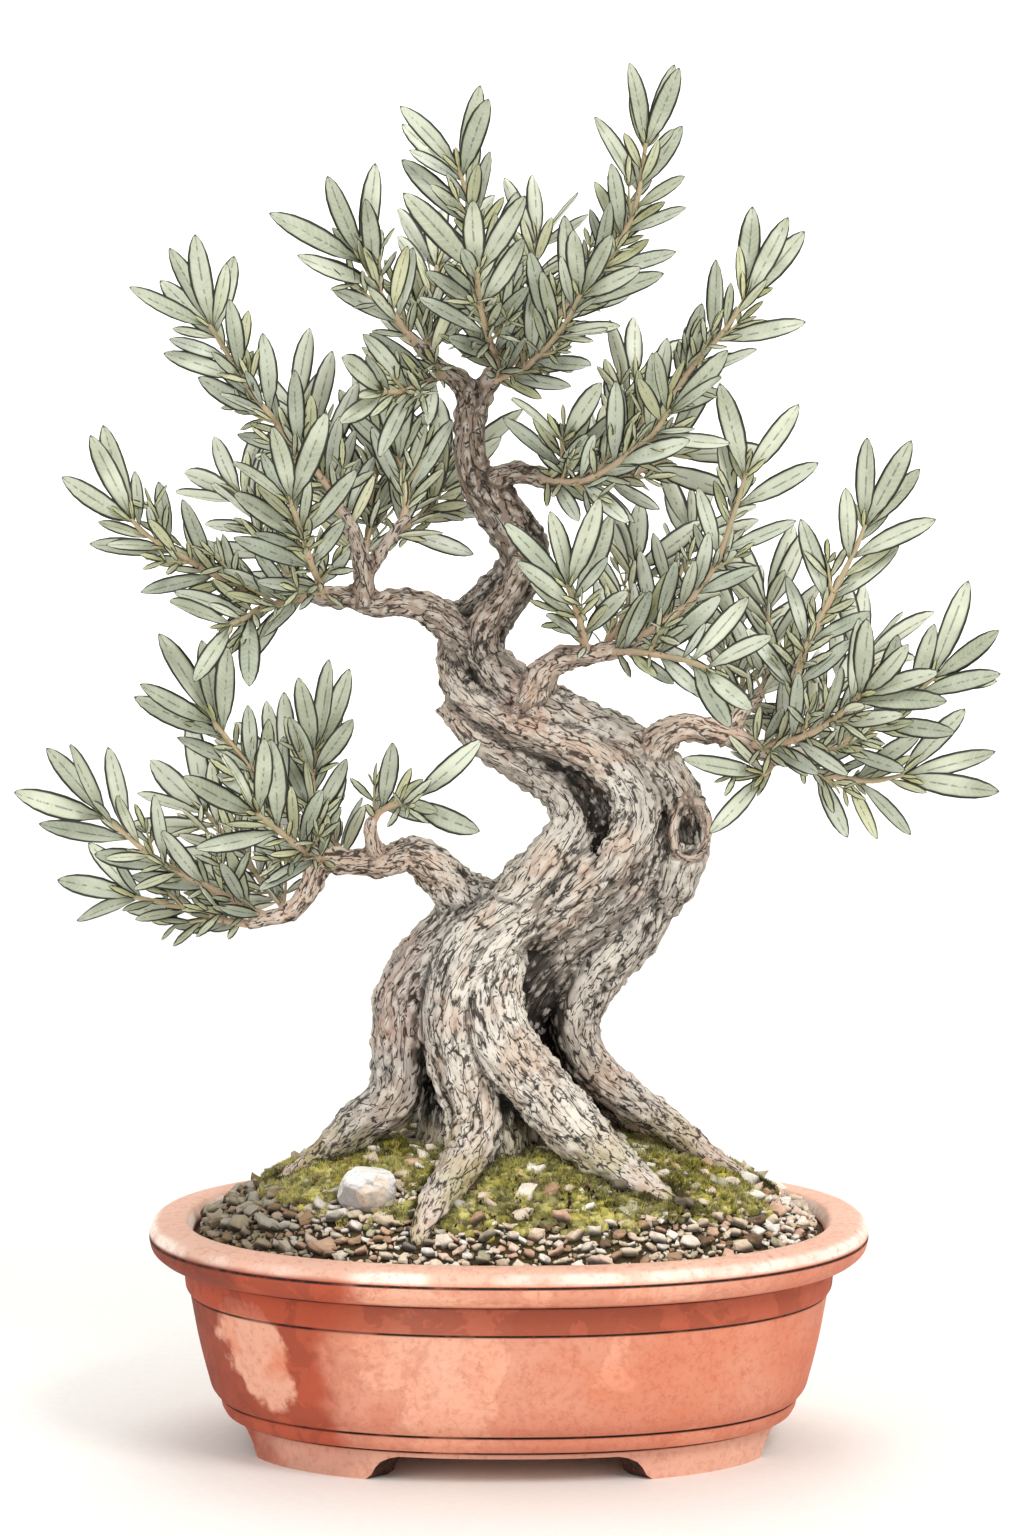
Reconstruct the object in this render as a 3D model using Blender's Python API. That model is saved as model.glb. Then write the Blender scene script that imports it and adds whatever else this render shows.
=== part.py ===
"""Olive bonsai in an oval terracotta pot: pot, soil, moss, stone, tree and leafy shoots.

Lengths in the tables are millimetres. +Z is up, the tree is seen from -Y, and the origin
lies under the middle of the pot, on the surface that its feet stand on.
"""

import math
import random

import bmesh
import bpy
import numpy as np
from mathutils.bvhtree import BVHTree

MM = 0.001
SEAT_GAP = 0.35
TRUNK_GAP = 0.45
SOIL_GAP = 0.8

# Pot: half widths across X at each height; the depth across Y is less by POT_NARROWER.
POT_NARROWER = 32.5
POT_SIDES = 36
OVAL_POWER = 2.25
POT_OUTSIDE = [(103.5, 0), (105, 12), (111, 14), (111, 17), (116, 23), (121, 42), (124.5, 61),
               (126, 64), (127, 73), (134, 75), (140, 82), (138, 88), (133, 90)]
POT_INSIDE = [(125, 90), (119, 76), (117, 63), (112, 42), (100, 18)]
FOOT_WALL = 10
FOOT_RECESS = 10
FOOT_GAP_FRONT = (44, 56)
FOOT_GAP_SIDE = (20, 30)
DRAIN_PLACE = 45
DRAIN_RADIUS = 11
POT_FLOOR = POT_INSIDE[-1][1]

# Soil: a mound that meets the pot wall at SOIL_EDGE and rises by SOIL_RISE at the trunk.
SOIL_EDGE = 84
SOIL_RISE = 38
SOIL_POWER = 2.6
SOIL_RINGS = [0.22, 0.4, 0.53, 0.64, 0.74, 0.83, 0.92, 1.0]
SOIL_ROUGHNESS = 1.5

# Moss pads: first and last segment of the mound, first and last ring, between the roots.
MOSS_PADS = {
    "moss_left": (19, 23, 1, 4),
    "moss_front": (25, 31, 1, 6),
    "moss_right": (33, 36, 1, 5),
    "moss_back": (5, 9, 1, 4),
    "moss_back_left": (14, 17, 1, 4),
}
MOSS_EDGE = 1.0
MOSS_THICK = 3.4

SCREEN_SIZE = 30
SCREEN_THICK = 1.2
SCREEN_BAR = 3
SCREEN_HOLES = 2

STONE_PLACE = (-53, -50)
STONE_SIZE = (25, 19, 22)

# The grown wood, strand by strand: x, y, z and radius along each one.
WOOD = {
    "core": [(-6, 2, 80, 27), (-7, 2, 105, 31), (-8, 2, 123, 28), (-9, 4, 142, 24), (-9, 6, 162, 23),
             (-3, 6, 183, 25), (12, 3, 204, 25), (31, -2, 222, 25), (44, -5, 237, 24),
             (45, -5, 254, 21), (35, -2, 267, 19), (16, 4, 280, 17), (-3, 8, 291, 15),
             (-14, 9, 306, 13), (-12, 6, 320, 12), (-1, 0, 334, 10), (6, -5, 346, 9.4),
             (2, -8, 358, 9.4), (-7, -6, 370, 8.6), (-14, -3, 382, 6.6), (-15, 0, 396, 6),
             (-14, 0, 410, 5.8)],
    "left_root": [(-3, -8, 215, 12), (-25, -10, 198, 13), (-39, -10, 179, 12.5), (-41, -10, 158, 11.5),
                  (-44, -11, 139, 10.5), (-59, -12, 127, 8.5), (-76, -9, 111, 6),
                  (-92, -5, 100, 4), (-104, -2, 92, 2)],
    "front_root": [(29, -20, 229, 11), (4, -21, 212, 12.5), (-14, -22, 194, 13.5), (-21, -22, 173, 13),
                   (-18, -24, 152, 12.5), (-13, -30, 135, 11), (-16, -41, 121, 9.5),
                   (-24, -57, 111, 8), (-31, -68, 102, 5.5), (-35, -76, 93, 2.7)],
    "diagonal_root": [(-3, -20, 200, 11), (-7, -26, 180, 12), (-2, -29, 162, 12.5), (12, -32, 145, 12),
                      (29, -38, 127, 11), (46, -44, 114, 8), (60, -48, 104, 5), (71, -50, 96, 2.7)],
    "right_root": [(58, -6, 227, 12), (48, -4, 205, 12.5), (34, -2, 187, 12), (26, -3, 167, 9.6),
                   (31, -5, 151, 8.8), (45, -7, 138, 8.2), (62, -6, 126, 6.8), (79, -2, 112, 5),
                   (95, 2, 101, 3.4), (107, 4, 93, 2)],
    "inner_strand": [(24, 10, 196, 15), (13, 13, 170, 13), (12, 14, 148, 13), (18, 12, 120, 14),
                     (22, 10, 100, 10)],
    "front_foot": [(-8, -12, 150, 12), (-6, -20, 130, 13), (-4, -24, 108, 14)],
    "back_left_root": [(12, 22, 210, 12), (-22, 25, 178, 13), (-31, 28, 148, 12.5), (-39, 40, 122, 10),
                       (-54, 55, 103, 7), (-64, 62, 91, 3)],
    "back_right_root": [(34, 12, 222, 13), (22, 24, 180, 13), (16, 28, 147, 12.5), (28, 42, 121, 10),
                        (48, 55, 104, 7), (65, 61, 92, 3)],
    "back_root": [(-4, 24, 190, 12), (-4, 28, 162, 12), (-8, 36, 132, 11), (-11, 51, 113, 8),
                  (-15, 67, 101, 5), (-17, 76, 92, 2.5)],
    "outer_ridge": [(57, -5, 214, 9), (63, -12, 227, 11), (66, -14, 245, 11), (59, -15, 264, 10),
                    (43, -15, 278, 9.4), (23, -14, 287, 8.6), (4, -12, 296, 7.8), (-9, -9, 310, 7), (-9, -10, 323, 6.2),
                    (1, -14, 336, 5), (6, -17, 348, 4.6)],
    "middle_ridge": [(6, -13, 202, 9), (16, -23, 213, 10.5), (36, -26, 232, 11), (48, -27, 249, 9.6),
                     (45, -25, 262, 8.8), (31, -21, 274, 8), (14, -15, 280, 8), (-3, -9, 287, 8), (-18, -3, 297, 7.4),
                     (-22, 2, 309, 6.6)],
    "under_ridge": [(-6, -11, 204, 9), (2, -21, 215, 10), (16, -24, 232, 10.2), (25, -20, 247, 8.8),
                    (19, -13, 259, 8), (4, -7, 269, 8), (-12, -3, 279, 7), (-23, 2, 291, 6)],
    "back_ridge": [(30, 24, 214, 12), (52, 16, 232, 11), (58, 12, 250, 10), (48, 15, 266, 9),
                   (26, 19, 282, 8), (4, 22, 296, 7), (-10, 21, 312, 6), (-8, 15, 328, 5)],
    "lower_left_branch": [(-3, -5, 211, 11), (-18, -10, 217, 10), (-27, -14, 227, 8.4),
                          (-37, -16, 234, 6.8), (-48, -16, 231, 5.6), (-61, -15, 231, 5.1),
                          (-72, -14, 231, 4.6), (-77, -12, 220, 4.2), (-84, -12, 211, 3.8),
                          (-93, -14, 209, 3.1), (-101, -16, 207, 2.2)],
    "lower_left_fork": [(-72, -14, 231, 4.3), (-78, -16, 242, 3.5), (-82, -17, 250, 2.4)],
    "lower_left_spur": [(-50, -16, 231, 4), (-53, -20, 243, 3), (-52, -22, 250, 2.2)],
    "upper_left_branch": [(-8, 0, 306, 8.6), (-20, -8, 319, 7.4), (-30, -12, 328, 6.2),
                          (-41, -14, 331, 5.5), (-51, -14, 330, 5.1), (-61, -12, 333, 4.4),
                          (-70, -12, 333, 3.9), (-80, -12, 335, 3.1), (-90, -12, 334, 2.2)],
    "upper_left_fork": [(-55, -14, 332, 4.7), (-56, -16, 345, 3.9), (-60, -20, 360, 2.9),
                        (-64, -22, 369, 2.2)],
    "upper_left_spur": [(-56, -15, 340, 3.6), (-46, -9, 355, 2.6), (-39, -6, 364, 2)],
    "crown_left_branch": [(-14, 0, 406, 5.6), (-18, 0, 414, 4.5), (-25, -2, 419, 3.6),
                          (-31, -4, 425, 3), (-36, -6, 431, 2.2)],
    "crown_right_branch": [(-14, 0, 404, 5.6), (-9, 0, 413, 4.6), (-4, 0, 419, 4), (0, -2, 426, 3.4),
                           (0, -3, 432, 2.6)],
    "upper_right_branch": [(-10, -4, 368, 6.4), (-4, -8, 378, 5), (4, -8, 380, 4.1), (13, -8, 378, 3.7),
                           (21, -8, 375, 3.4), (30, -8, 378, 3), (37, -8, 382, 2.3)],
    "middle_right_branch": [(0, -6, 284, 9), (10, -15, 297, 7.4), (15, -20, 307, 5.6),
                            (23, -20, 311, 4.4), (33, -20, 312, 4), (41, -20, 314, 3.5),
                            (50, -20, 318, 2.4)],
    "lower_right_branch": [(46, -8, 254, 10), (54, -17, 272, 7.6), (60, -21, 281, 6),
                           (69, -22, 284, 5), (78, -22, 282, 4.6), (86, -22, 280, 4.3),
                           (96, -22, 275, 3.8), (106, -22, 272, 3.4), (116, -22, 273, 2.3)],
    "lower_right_fork": [(83, -22, 280, 4), (89, -18, 289, 3.1), (97, -13, 295, 2.2)],
    "lower_right_spur": [(104, -22, 273, 3.6), (106, -25, 284, 2.9), (108, -27, 292, 2.2)],
    "knot_lip": [(67, -22, 257, 2.6), (74, -19, 252, 2.6), (76, -18, 243, 2.6), (72, -21, 235, 2.6),
                 (65, -24, 236, 2.6), (63, -25, 247, 2.6), (67, -22, 257, 2.6)],
}

# What age has hollowed out of the wood, given like the strands.
HOLLOWS = {
    "knot_hole": [(69, -27, 251, 4), (70, -26, 246, 5), (69, -27, 239, 4)],
    "groove": [(10, -19, 269, 2.5), (22, -23, 265, 4), (31, -26, 257, 5), (36, -30, 245, 4.5),
               (34, -33, 235, 3)],
}
WOOD_STEP = 4
WOOD_SIDES = 12
WOOD_VOXEL = 1.5
WOOD_TRIANGLES = 2600

# Leafy shoots: the way each green stem takes from the wood that carries it to its end.
SHOOTS = {
    "low_left_1": [(-80, -17, 246), (-86, -18, 253), (-95, -20, 263), (-104, -22, 275), (-113, -24, 287)],
    "low_left_2": [(-76, -15, 238), (-75, -18, 248), (-75, -22, 262), (-74, -26, 276)],
    "low_left_3": [(-53, -20, 246), (-49, -25, 252), (-42, -31, 256), (-36, -36, 258)],
    "low_left_4": [(-92, -14, 209), (-103, -17, 215), (-119, -20, 224), (-137, -24, 235), (-155, -28, 251)],
    "low_left_5": [(-99, -16, 207), (-110, -12, 208), (-123, -8, 211), (-136, -4, 214), (-145, 0, 215)],
    "low_left_6": [(-85, -12, 211), (-94, 6, 218), (-106, 28, 229), (-120, 48, 242)],
    "low_left_7": [(-63, -14, 231), (-69, 6, 238), (-79, 28, 249), (-90, 46, 259)],
    "low_left_8": [(-70, -15, 231), (-77, -38, 238), (-87, -56, 249), (-95, -70, 258)],
    "upper_left_1": [(-63, -22, 366), (-69, -22, 377), (-84, -20, 395), (-99, -18, 414), (-114, -16, 438)],
    "upper_left_2": [(-88, -12, 334), (-104, -14, 338), (-121, -18, 347), (-137, -20, 357),
                     (-144, -22, 364)],
    "upper_left_3": [(-41, -7, 361), (-39, -4, 370), (-40, -2, 378), (-43, 0, 386)],
    "upper_left_4": [(-70, -13, 333), (-74, -36, 346), (-78, -54, 362), (-82, -64, 375)],
    "upper_left_5": [(-79, -11, 335), (-88, 6, 344), (-97, 26, 356), (-105, 44, 368)],
    "upper_left_6": [(-56, -16, 345), (-54, 6, 357), (-52, 30, 374), (-50, 50, 392)],
    "upper_left_7": [(-60, -19, 358), (-67, 4, 372), (-75, 28, 386), (-83, 50, 401)],
    "upper_left_8": [(-46, -9, 355), (-36, 8, 361), (-28, 22, 368), (-24, 36, 378)],
    "upper_left_9": [(-75, -12, 334), (-94, -22, 330), (-100, -30, 327), (-106, -38, 325)],
    "crown_left_1": [(-35, -6, 429), (-42, -8, 438), (-49, -10, 449), (-56, -12, 462)],
    "crown_left_2": [(-30, -3, 423), (-31, 14, 432), (-30, 32, 444), (-28, 48, 457)],
    "crown_left_3": [(-24, -2, 418), (-32, -18, 415), (-41, -32, 413), (-48, -44, 414)],
    "crown_middle_1": [(0, -3, 430), (-5, -4, 446), (-12, -8, 470), (-19, -10, 497)],
    "crown_middle_2": [(0, -1, 426), (4, 20, 440), (9, 38, 452), (11, 54, 466)],
    "crown_middle_3": [(-3, 0, 419), (-8, -24, 434), (-11, -42, 448), (-12, -56, 460)],
    "crown_right_1": [(0, -2, 421), (11, -4, 433), (32, -8, 454), (47, -11, 479), (52, -12, 506)],
    "crown_right_2": [(-8, 0, 414), (8, -18, 423), (20, -36, 437), (27, -50, 451)],
    "upper_right_1": [(35, -8, 381), (50, -12, 397), (69, -16, 420), (83, -18, 437), (90, -18, 448)],
    "upper_right_2": [(21, -8, 375), (21, -16, 385), (20, -24, 395)],
    "upper_right_3": [(28, -8, 377), (44, 0, 378), (54, 4, 382), (63, 7, 387)],
    "upper_right_4": [(24, -8, 376), (34, 16, 385), (45, 38, 400), (50, 54, 413)],
    "upper_right_5": [(12, -8, 378), (30, -34, 380), (52, -46, 396), (60, -58, 408)],
    "middle_right_1": [(48, -20, 317), (65, -22, 329), (78, -24, 346), (86, -26, 368), (90, -26, 382)],
    "middle_right_2": [(30, -20, 312), (28, -30, 322), (25, -38, 332), (22, -44, 341)],
    "middle_right_3": [(34, -20, 312), (43, -4, 322), (47, 12, 331), (50, 26, 341)],
    "middle_right_4": [(44, -20, 315), (57, 8, 324), (67, 34, 338), (73, 56, 352)],
    "middle_right_5": [(38, -20, 313), (52, -36, 314), (66, -50, 313), (75, -62, 311)],
    "low_right_1": [(114, -22, 273), (126, -23, 277), (139, -25, 285), (151, -27, 294), (162, -28, 304)],
    "low_right_2": [(108, -26, 290), (111, -30, 310), (120, -32, 330), (131, -34, 353), (135, -34, 363)],
    "low_right_3": [(108, -22, 272), (122, -16, 265), (138, -12, 262), (152, -10, 264)],
    "low_right_4": [(96, -14, 294), (100, 0, 304), (101, 14, 316), (100, 26, 328)],
    "low_right_5": [(87, -20, 285), (90, 6, 291), (91, 30, 303), (90, 50, 316)],
    "low_right_6": [(101, -22, 273), (113, 4, 280), (127, 28, 291), (140, 50, 303)],
    "low_right_7": [(92, -22, 277), (108, -44, 282), (122, -60, 292), (132, -72, 303)],
    "low_right_8": [(103, -22, 273), (101, -25, 271), (99, -29, 268), (96, -32, 267)],
}
STEM_SIDES = 4
STEM_BASE = 1.6
STEM_END = 0.9
STEM_STEP = 14
STEM_TEST_STEP = 2

# Leaves: share of the length and of the half width at each section, narrow at the foot.
LEAF_SECTIONS = [(0.0, 0.22), (0.3, 0.88), (0.64, 0.96)]
LEAF_LENGTH = 31
LEAF_SLIM = 0.245
LEAF_KEEL = 1.1
LEAF_CLEAR = 0.45
WOOD_CLEAR = 1.6
STEM_CLEAR = 1.0
OWN_STEM_CLEAR = 0.3
FOOT_FREE = 3
PAIR_GAP = 18
FIRST_PAIR = 9
PAIR_ANGLE = 40
TRIES = 14
LEAF_REACH = 48
LEAF_ARCH = 0.06
SHORT_EDGES = (1.1, 0.8, 0.5, 0.3, 0.15)

CLAY = (0.62, 0.22, 0.12)
BARK = (0.45, 0.38, 0.31)
LEAF = (0.30, 0.36, 0.22)
EARTH = (0.22, 0.17, 0.12)
MOSS = (0.22, 0.26, 0.05)
ROCK = (0.55, 0.52, 0.47)
MESH = (0.04, 0.04, 0.04)


def clear_scene():
    for item in list(bpy.data.objects):
        bpy.data.objects.remove(item, do_unlink=True)


def material(name, colour, roughness):
    made = bpy.data.materials.new(name)
    made.use_nodes = True
    shader = made.node_tree.nodes["Principled BSDF"]
    shader.inputs["Base Color"].default_value = (*colour, 1)
    shader.inputs["Roughness"].default_value = roughness
    made.diffuse_color = (*colour, 1)
    return made


def add_mesh(name, points, faces, look=None):
    """A new object from points in millimetres, its faces turned outwards."""
    mesh = bpy.data.meshes.new(name)
    mesh.from_pydata([tuple(float(c) * MM for c in p) for p in points], [], faces)
    shape = bmesh.new()
    shape.from_mesh(mesh)
    bmesh.ops.recalc_face_normals(shape, faces=shape.faces[:])
    shape.to_mesh(mesh)
    shape.free()
    made = bpy.data.objects.new(name, mesh)
    bpy.context.scene.collection.objects.link(made)
    if look:
        mesh.materials.append(look)
    return made


def cut(target, other):
    step = target.modifiers.new("Cut", "BOOLEAN")
    step.operation = "DIFFERENCE"
    step.object = other


def apply_modifiers(target):
    """Replace the object's mesh by what its modifiers make of it."""
    seen = target.evaluated_get(bpy.context.evaluated_depsgraph_get())
    mesh = bpy.data.meshes.new_from_object(seen)
    target.modifiers.clear()
    target.data = mesh


def keep_main_body(target):
    """Drop loose scraps and sealed inner skins: only the largest body stays."""
    shape = triangles(target)
    waiting = set(shape.verts)
    bodies = []
    while waiting:
        body = [waiting.pop()]
        for vert in body:
            for edge in vert.link_edges:
                near = edge.other_vert(vert)
                if near in waiting:
                    waiting.remove(near)
                    body.append(near)
        bodies.append(body)
    bodies.sort(key=len)
    for body in bodies[:-1]:
        bmesh.ops.delete(shape, geom=body, context="VERTS")
    shape.to_mesh(target.data)
    shape.free()


def stays_whole(edge):
    """Whether an edge can be closed up without pinching or folding the skin."""
    here, there = edge.verts
    near = {e.other_vert(here) for e in here.link_edges}
    if len(near & {e.other_vert(there) for e in there.link_edges}) != 2:
        return False
    for face in there.link_faces:
        if here in face.verts:
            continue
        before = face.normal
        a, b, c = (here.co if vert == there else vert.co for vert in face.verts)
        after = (b - a).cross(c - a)
        if after.length < 1e-9 or after.normalized().dot(before) < 0.5:
            return False
    return True


def turn_diagonal(shape, edge):
    """Give two of the four triangles on an edge the other diagonal of their quad."""
    for first in list(edge.link_faces):
        others = [face for face in edge.link_faces if face != first]
        partner = max(others, key=lambda face: face.normal.dot(first.normal))
        corners = list(first.verts)
        c = next(vert for vert in corners if vert not in edge.verts)
        a = corners[(corners.index(c) + 1) % 3]
        b = corners[(corners.index(c) + 2) % 3]
        d = next(vert for vert in partner.verts if vert not in edge.verts)
        ways = [(v.co - u.co).cross(c.co - u.co) for u, v in ((a, d), (d, b))]
        if shape.edges.get((c, d)) is None and all(way.dot(first.normal) > 0 for way in ways):
            break
    shape.faces.remove(first)
    shape.faces.remove(partner)
    if shape.edges.get((c, d)) is None:
        new = [(a, d, c), (d, b, c)]
    else:
        middle = shape.verts.new((a.co + b.co) / 2)
        new = [(a, middle, c), (middle, b, c), (b, middle, d), (middle, a, d)]
    for corners in new:
        shape.faces.new(corners)


def triangles(target):
    """The object's mesh in triangles, with no diagonal shared by two faces."""
    shape = bmesh.new()
    shape.from_mesh(target.data)
    bmesh.ops.triangulate(shape, faces=shape.faces[:])
    shape.normal_update()
    for edge in [edge for edge in shape.edges if len(edge.link_faces) == 4]:
        turn_diagonal(shape, edge)
    shape.normal_update()
    return shape


def close_short_edges(target, longest):
    """Merge the ends of edges shorter than a length, shortest first."""
    shape = triangles(target)
    merged = 1
    while merged:
        merged = 0
        short = [edge for edge in shape.edges if edge.calc_length() < longest * MM]
        for edge in sorted(short, key=lambda edge: edge.calc_length()):
            if edge.is_valid and stays_whole(edge):
                here, there = edge.verts
                bmesh.ops.pointmerge(shape, verts=[here, there], merge_co=here.co)
                shape.normal_update()
                merged += 1
    shape.to_mesh(target.data)
    shape.free()


def crosses_itself(target):
    """Whether two faces with no corner in common meet."""
    shape = triangles(target)
    shape.verts.index_update()
    shape.faces.ensure_lookup_table()
    corners = [{vert.index for vert in face.verts} for face in shape.faces]
    tree = BVHTree.FromBMesh(shape)
    shape.free()
    return any(not corners[a] & corners[b] for a, b in tree.overlap(tree) if a < b)


def thin_out(target):
    """Close up the short edges, up to the greatest length that leaves the skin uncrossed."""
    whole = target.data.copy()
    for longest in SHORT_EDGES:
        close_short_edges(target, longest)
        if not crosses_itself(target):
            return
        target.data = whole.copy()


def remove(*things):
    for thing in things:
        bpy.data.objects.remove(thing, do_unlink=True)


def oval(half_x, z, sides=POT_SIDES):
    """Points of the pot's oval at one height."""
    half_y = half_x - POT_NARROWER
    ring = []
    for k in range(sides):
        angle = math.tau * k / sides
        c, s = math.cos(angle), math.sin(angle)
        x = half_x * math.copysign(abs(c) ** (2 / OVAL_POWER), c)
        y = half_y * math.copysign(abs(s) ** (2 / OVAL_POWER), s)
        ring.append((x, y, z))
    return ring


def loft(name, rings, look=None):
    """A closed solid through rings of points, with a flat cap at each end."""
    count = len(rings[0])
    points = [p for ring in rings for p in ring]
    faces = []
    for r in range(len(rings) - 1):
        for k in range(count):
            n = (k + 1) % count
            a, b = r * count, (r + 1) * count
            faces += [(a + k, a + n, b + n), (a + k, b + n, b + k)]
    faces.append(tuple(range(count))[::-1])
    last = (len(rings) - 1) * count
    faces.append(tuple(range(last, last + count)))
    return add_mesh(name, points, faces, look)


def wedge(name, top, bottom, reach, across_x):
    """A long cutter of trapezoid section, wider below, for a gap between two feet."""
    section = [(-bottom, -1), (bottom, -1), (top, FOOT_RECESS), (-top, FOOT_RECESS)]
    rings = []
    for end in (-reach, reach):
        if across_x:
            rings.append([(end, u, z) for u, z in section])
        else:
            rings.append([(u, end, z) for u, z in section])
    return loft(name, rings)


def tube(path, sides):
    """Points and faces of a closed tube along rows of x, y, z and radius."""
    centres = path[:, :3]
    ways = np.gradient(centres, axis=0)
    ways /= np.linalg.norm(ways, axis=1)[:, None]
    lead = np.array([1.0, 0, 0]) if abs(ways[0][0]) < 0.8 else np.array([0, 1.0, 0])
    points = []
    for centre, way, radius in zip(centres, ways, path[:, 3]):
        lead = lead - way * lead.dot(way)
        lead /= np.linalg.norm(lead)
        across = np.cross(way, lead)
        for k in range(sides):
            turn = math.tau * (k + 0.5) / sides
            points.append(centre + radius * (math.cos(turn) * lead + math.sin(turn) * across))
    faces = []
    for r in range(len(path) - 1):
        for k in range(sides):
            n = (k + 1) % sides
            faces.append((r * sides + k, r * sides + n, (r + 1) * sides + n, (r + 1) * sides + k))
    faces.append(tuple(range(sides))[::-1])
    last = (len(path) - 1) * sides
    faces.append(tuple(range(last, last + sides)))
    return points, faces


def smooth_path(points, step):
    """A Catmull-Rom curve through the points, with a sample about every step."""
    knots = np.array(points, float)
    ends = np.vstack([2 * knots[0] - knots[1], knots, 2 * knots[-1] - knots[-2]])
    samples = []
    for i in range(len(knots) - 1):
        a, b, c, d = ends[i:i + 4]
        count = max(1, round(float(np.linalg.norm((c - b)[:3])) / step))
        for k in range(count):
            t = k / count
            bend = (2 * a - 5 * b + 4 * c - d) * t * t + (3 * b - a - 3 * c + d) * t ** 3
            samples.append(0.5 * (2 * b + (c - a) * t + bend))
    samples.append(knots[-1])
    return np.array(samples)


def tubes(name, strands):
    """One object that holds a closed tube for each strand."""
    points, faces = [], []
    for strand in strands.values():
        more, sides = tube(smooth_path(strand, WOOD_STEP), WOOD_SIDES)
        faces += [tuple(v + len(points) for v in face) for face in sides]
        points += more
    return add_mesh(name, points, faces)


def fused(name, strands, voxel, rounds):
    """The strands grown together into one skin."""
    made = tubes(name, strands)
    grow = made.modifiers.new("Grow together", "REMESH")
    grow.mode = "VOXEL"
    grow.voxel_size = voxel * MM
    relax = made.modifiers.new("Relax", "SMOOTH")
    relax.factor = 0.5
    relax.iterations = rounds
    apply_modifiers(made)
    return made


def make_trunk(look):
    trunk = fused("trunk", WOOD, WOOD_VOXEL, 3)
    hollows = fused("hollows", HOLLOWS, 1.2, 1)
    cut(trunk, hollows)
    apply_modifiers(trunk)
    thin = trunk.modifiers.new("Fewer faces", "DECIMATE")
    corners = sum(len(face.vertices) - 2 for face in trunk.data.polygons)
    thin.ratio = WOOD_TRIANGLES / corners
    apply_modifiers(trunk)
    keep_main_body(trunk)
    trunk.data.materials.clear()
    trunk.data.materials.append(look)
    remove(hollows)
    return trunk


def swollen(source, name, gap):
    """A copy of a solid whose skin stands off by the gap, for cutting its seat."""
    mesh = source.data.copy()
    shape = bmesh.new()
    shape.from_mesh(mesh)
    shape.normal_update()
    moves = [(vert, vert.normal * min(vert.calc_shell_factor(), 2)) for vert in shape.verts]
    for vert, way in moves:
        vert.co += way * gap * MM
    shape.to_mesh(mesh)
    shape.free()
    made = bpy.data.objects.new(name, mesh)
    bpy.context.scene.collection.objects.link(made)
    return made


def make_pot(look):
    rings = [oval(a, z) for a, z in POT_OUTSIDE + POT_INSIDE]
    pot = loft("pot", rings, look)
    foot = POT_OUTSIDE[0][0]
    recess = loft("recess", [oval(foot - FOOT_WALL, -1), oval(foot - FOOT_WALL + 1, FOOT_RECESS)])
    front = wedge("front_gap", *FOOT_GAP_FRONT, 120, False)
    side = wedge("side_gap", *FOOT_GAP_SIDE, 150, True)
    cutters = [recess, front, side]
    for place in (-DRAIN_PLACE, DRAIN_PLACE):
        drain = []
        for z in (FOOT_RECESS - 2, POT_FLOOR + 2):
            turns = [math.tau * k / 16 for k in range(16)]
            ring = [(DRAIN_RADIUS * math.cos(t), DRAIN_RADIUS * math.sin(t)) for t in turns]
            drain.append([(place + x, y, z) for x, y in ring])
        cutters.append(loft("drain", drain))
    for cutter in cutters:
        cut(pot, cutter)
    apply_modifiers(pot)
    keep_main_body(pot)
    remove(*cutters)
    return pot


def wall_inside(z):
    """Half width of the pot's inside at a height."""
    for (upper, top), (lower, base) in zip(POT_INSIDE, POT_INSIDE[1:]):
        if base <= z <= top:
            return lower + (upper - lower) * (z - base) / (top - base)
    return POT_INSIDE[-1][0]


def roughness(ring, segment):
    """Repeatable bumps of the gravel, the same for the soil and for what lies on it."""
    return SOIL_ROUGHNESS * math.sin(12.9898 * ring + 78.233 * segment + 5.1 * ring * segment)


def mound(share):
    return SOIL_EDGE + SOIL_RISE * (1 - share ** SOIL_POWER)


def soil_point(ring, segment):
    """A point of the mound's grid; the last ring lies at the pot's wall."""
    share = SOIL_RINGS[ring]
    edge = oval(wall_inside(SOIL_EDGE) - SEAT_GAP, 0)[segment % POT_SIDES]
    bump = roughness(ring, segment % POT_SIDES) if share < 1 else 0
    return (edge[0] * share, edge[1] * share, mound(share) + bump)


def soil_height(x, y):
    half = wall_inside(SOIL_EDGE)
    share_x = abs(x / half) ** OVAL_POWER
    share_y = abs(y / (half - POT_NARROWER)) ** OVAL_POWER
    return mound(min((share_x + share_y) ** (1 / OVAL_POWER), 1))


def make_soil(look, seats):
    heights = [POT_FLOOR + SEAT_GAP] + [z for _, z in POT_INSIDE[::-1] if POT_FLOOR < z < SOIL_EDGE]
    rings = [oval(wall_inside(z) - SEAT_GAP, z) for z in heights]
    for ring in range(len(SOIL_RINGS) - 1, -1, -1):
        rings.append([soil_point(ring, k) for k in range(POT_SIDES)])
    soil = loft("soil", rings, look)
    for seat in seats:
        cut(soil, seat)
    apply_modifiers(soil)
    keep_main_body(soil)
    return soil


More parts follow.
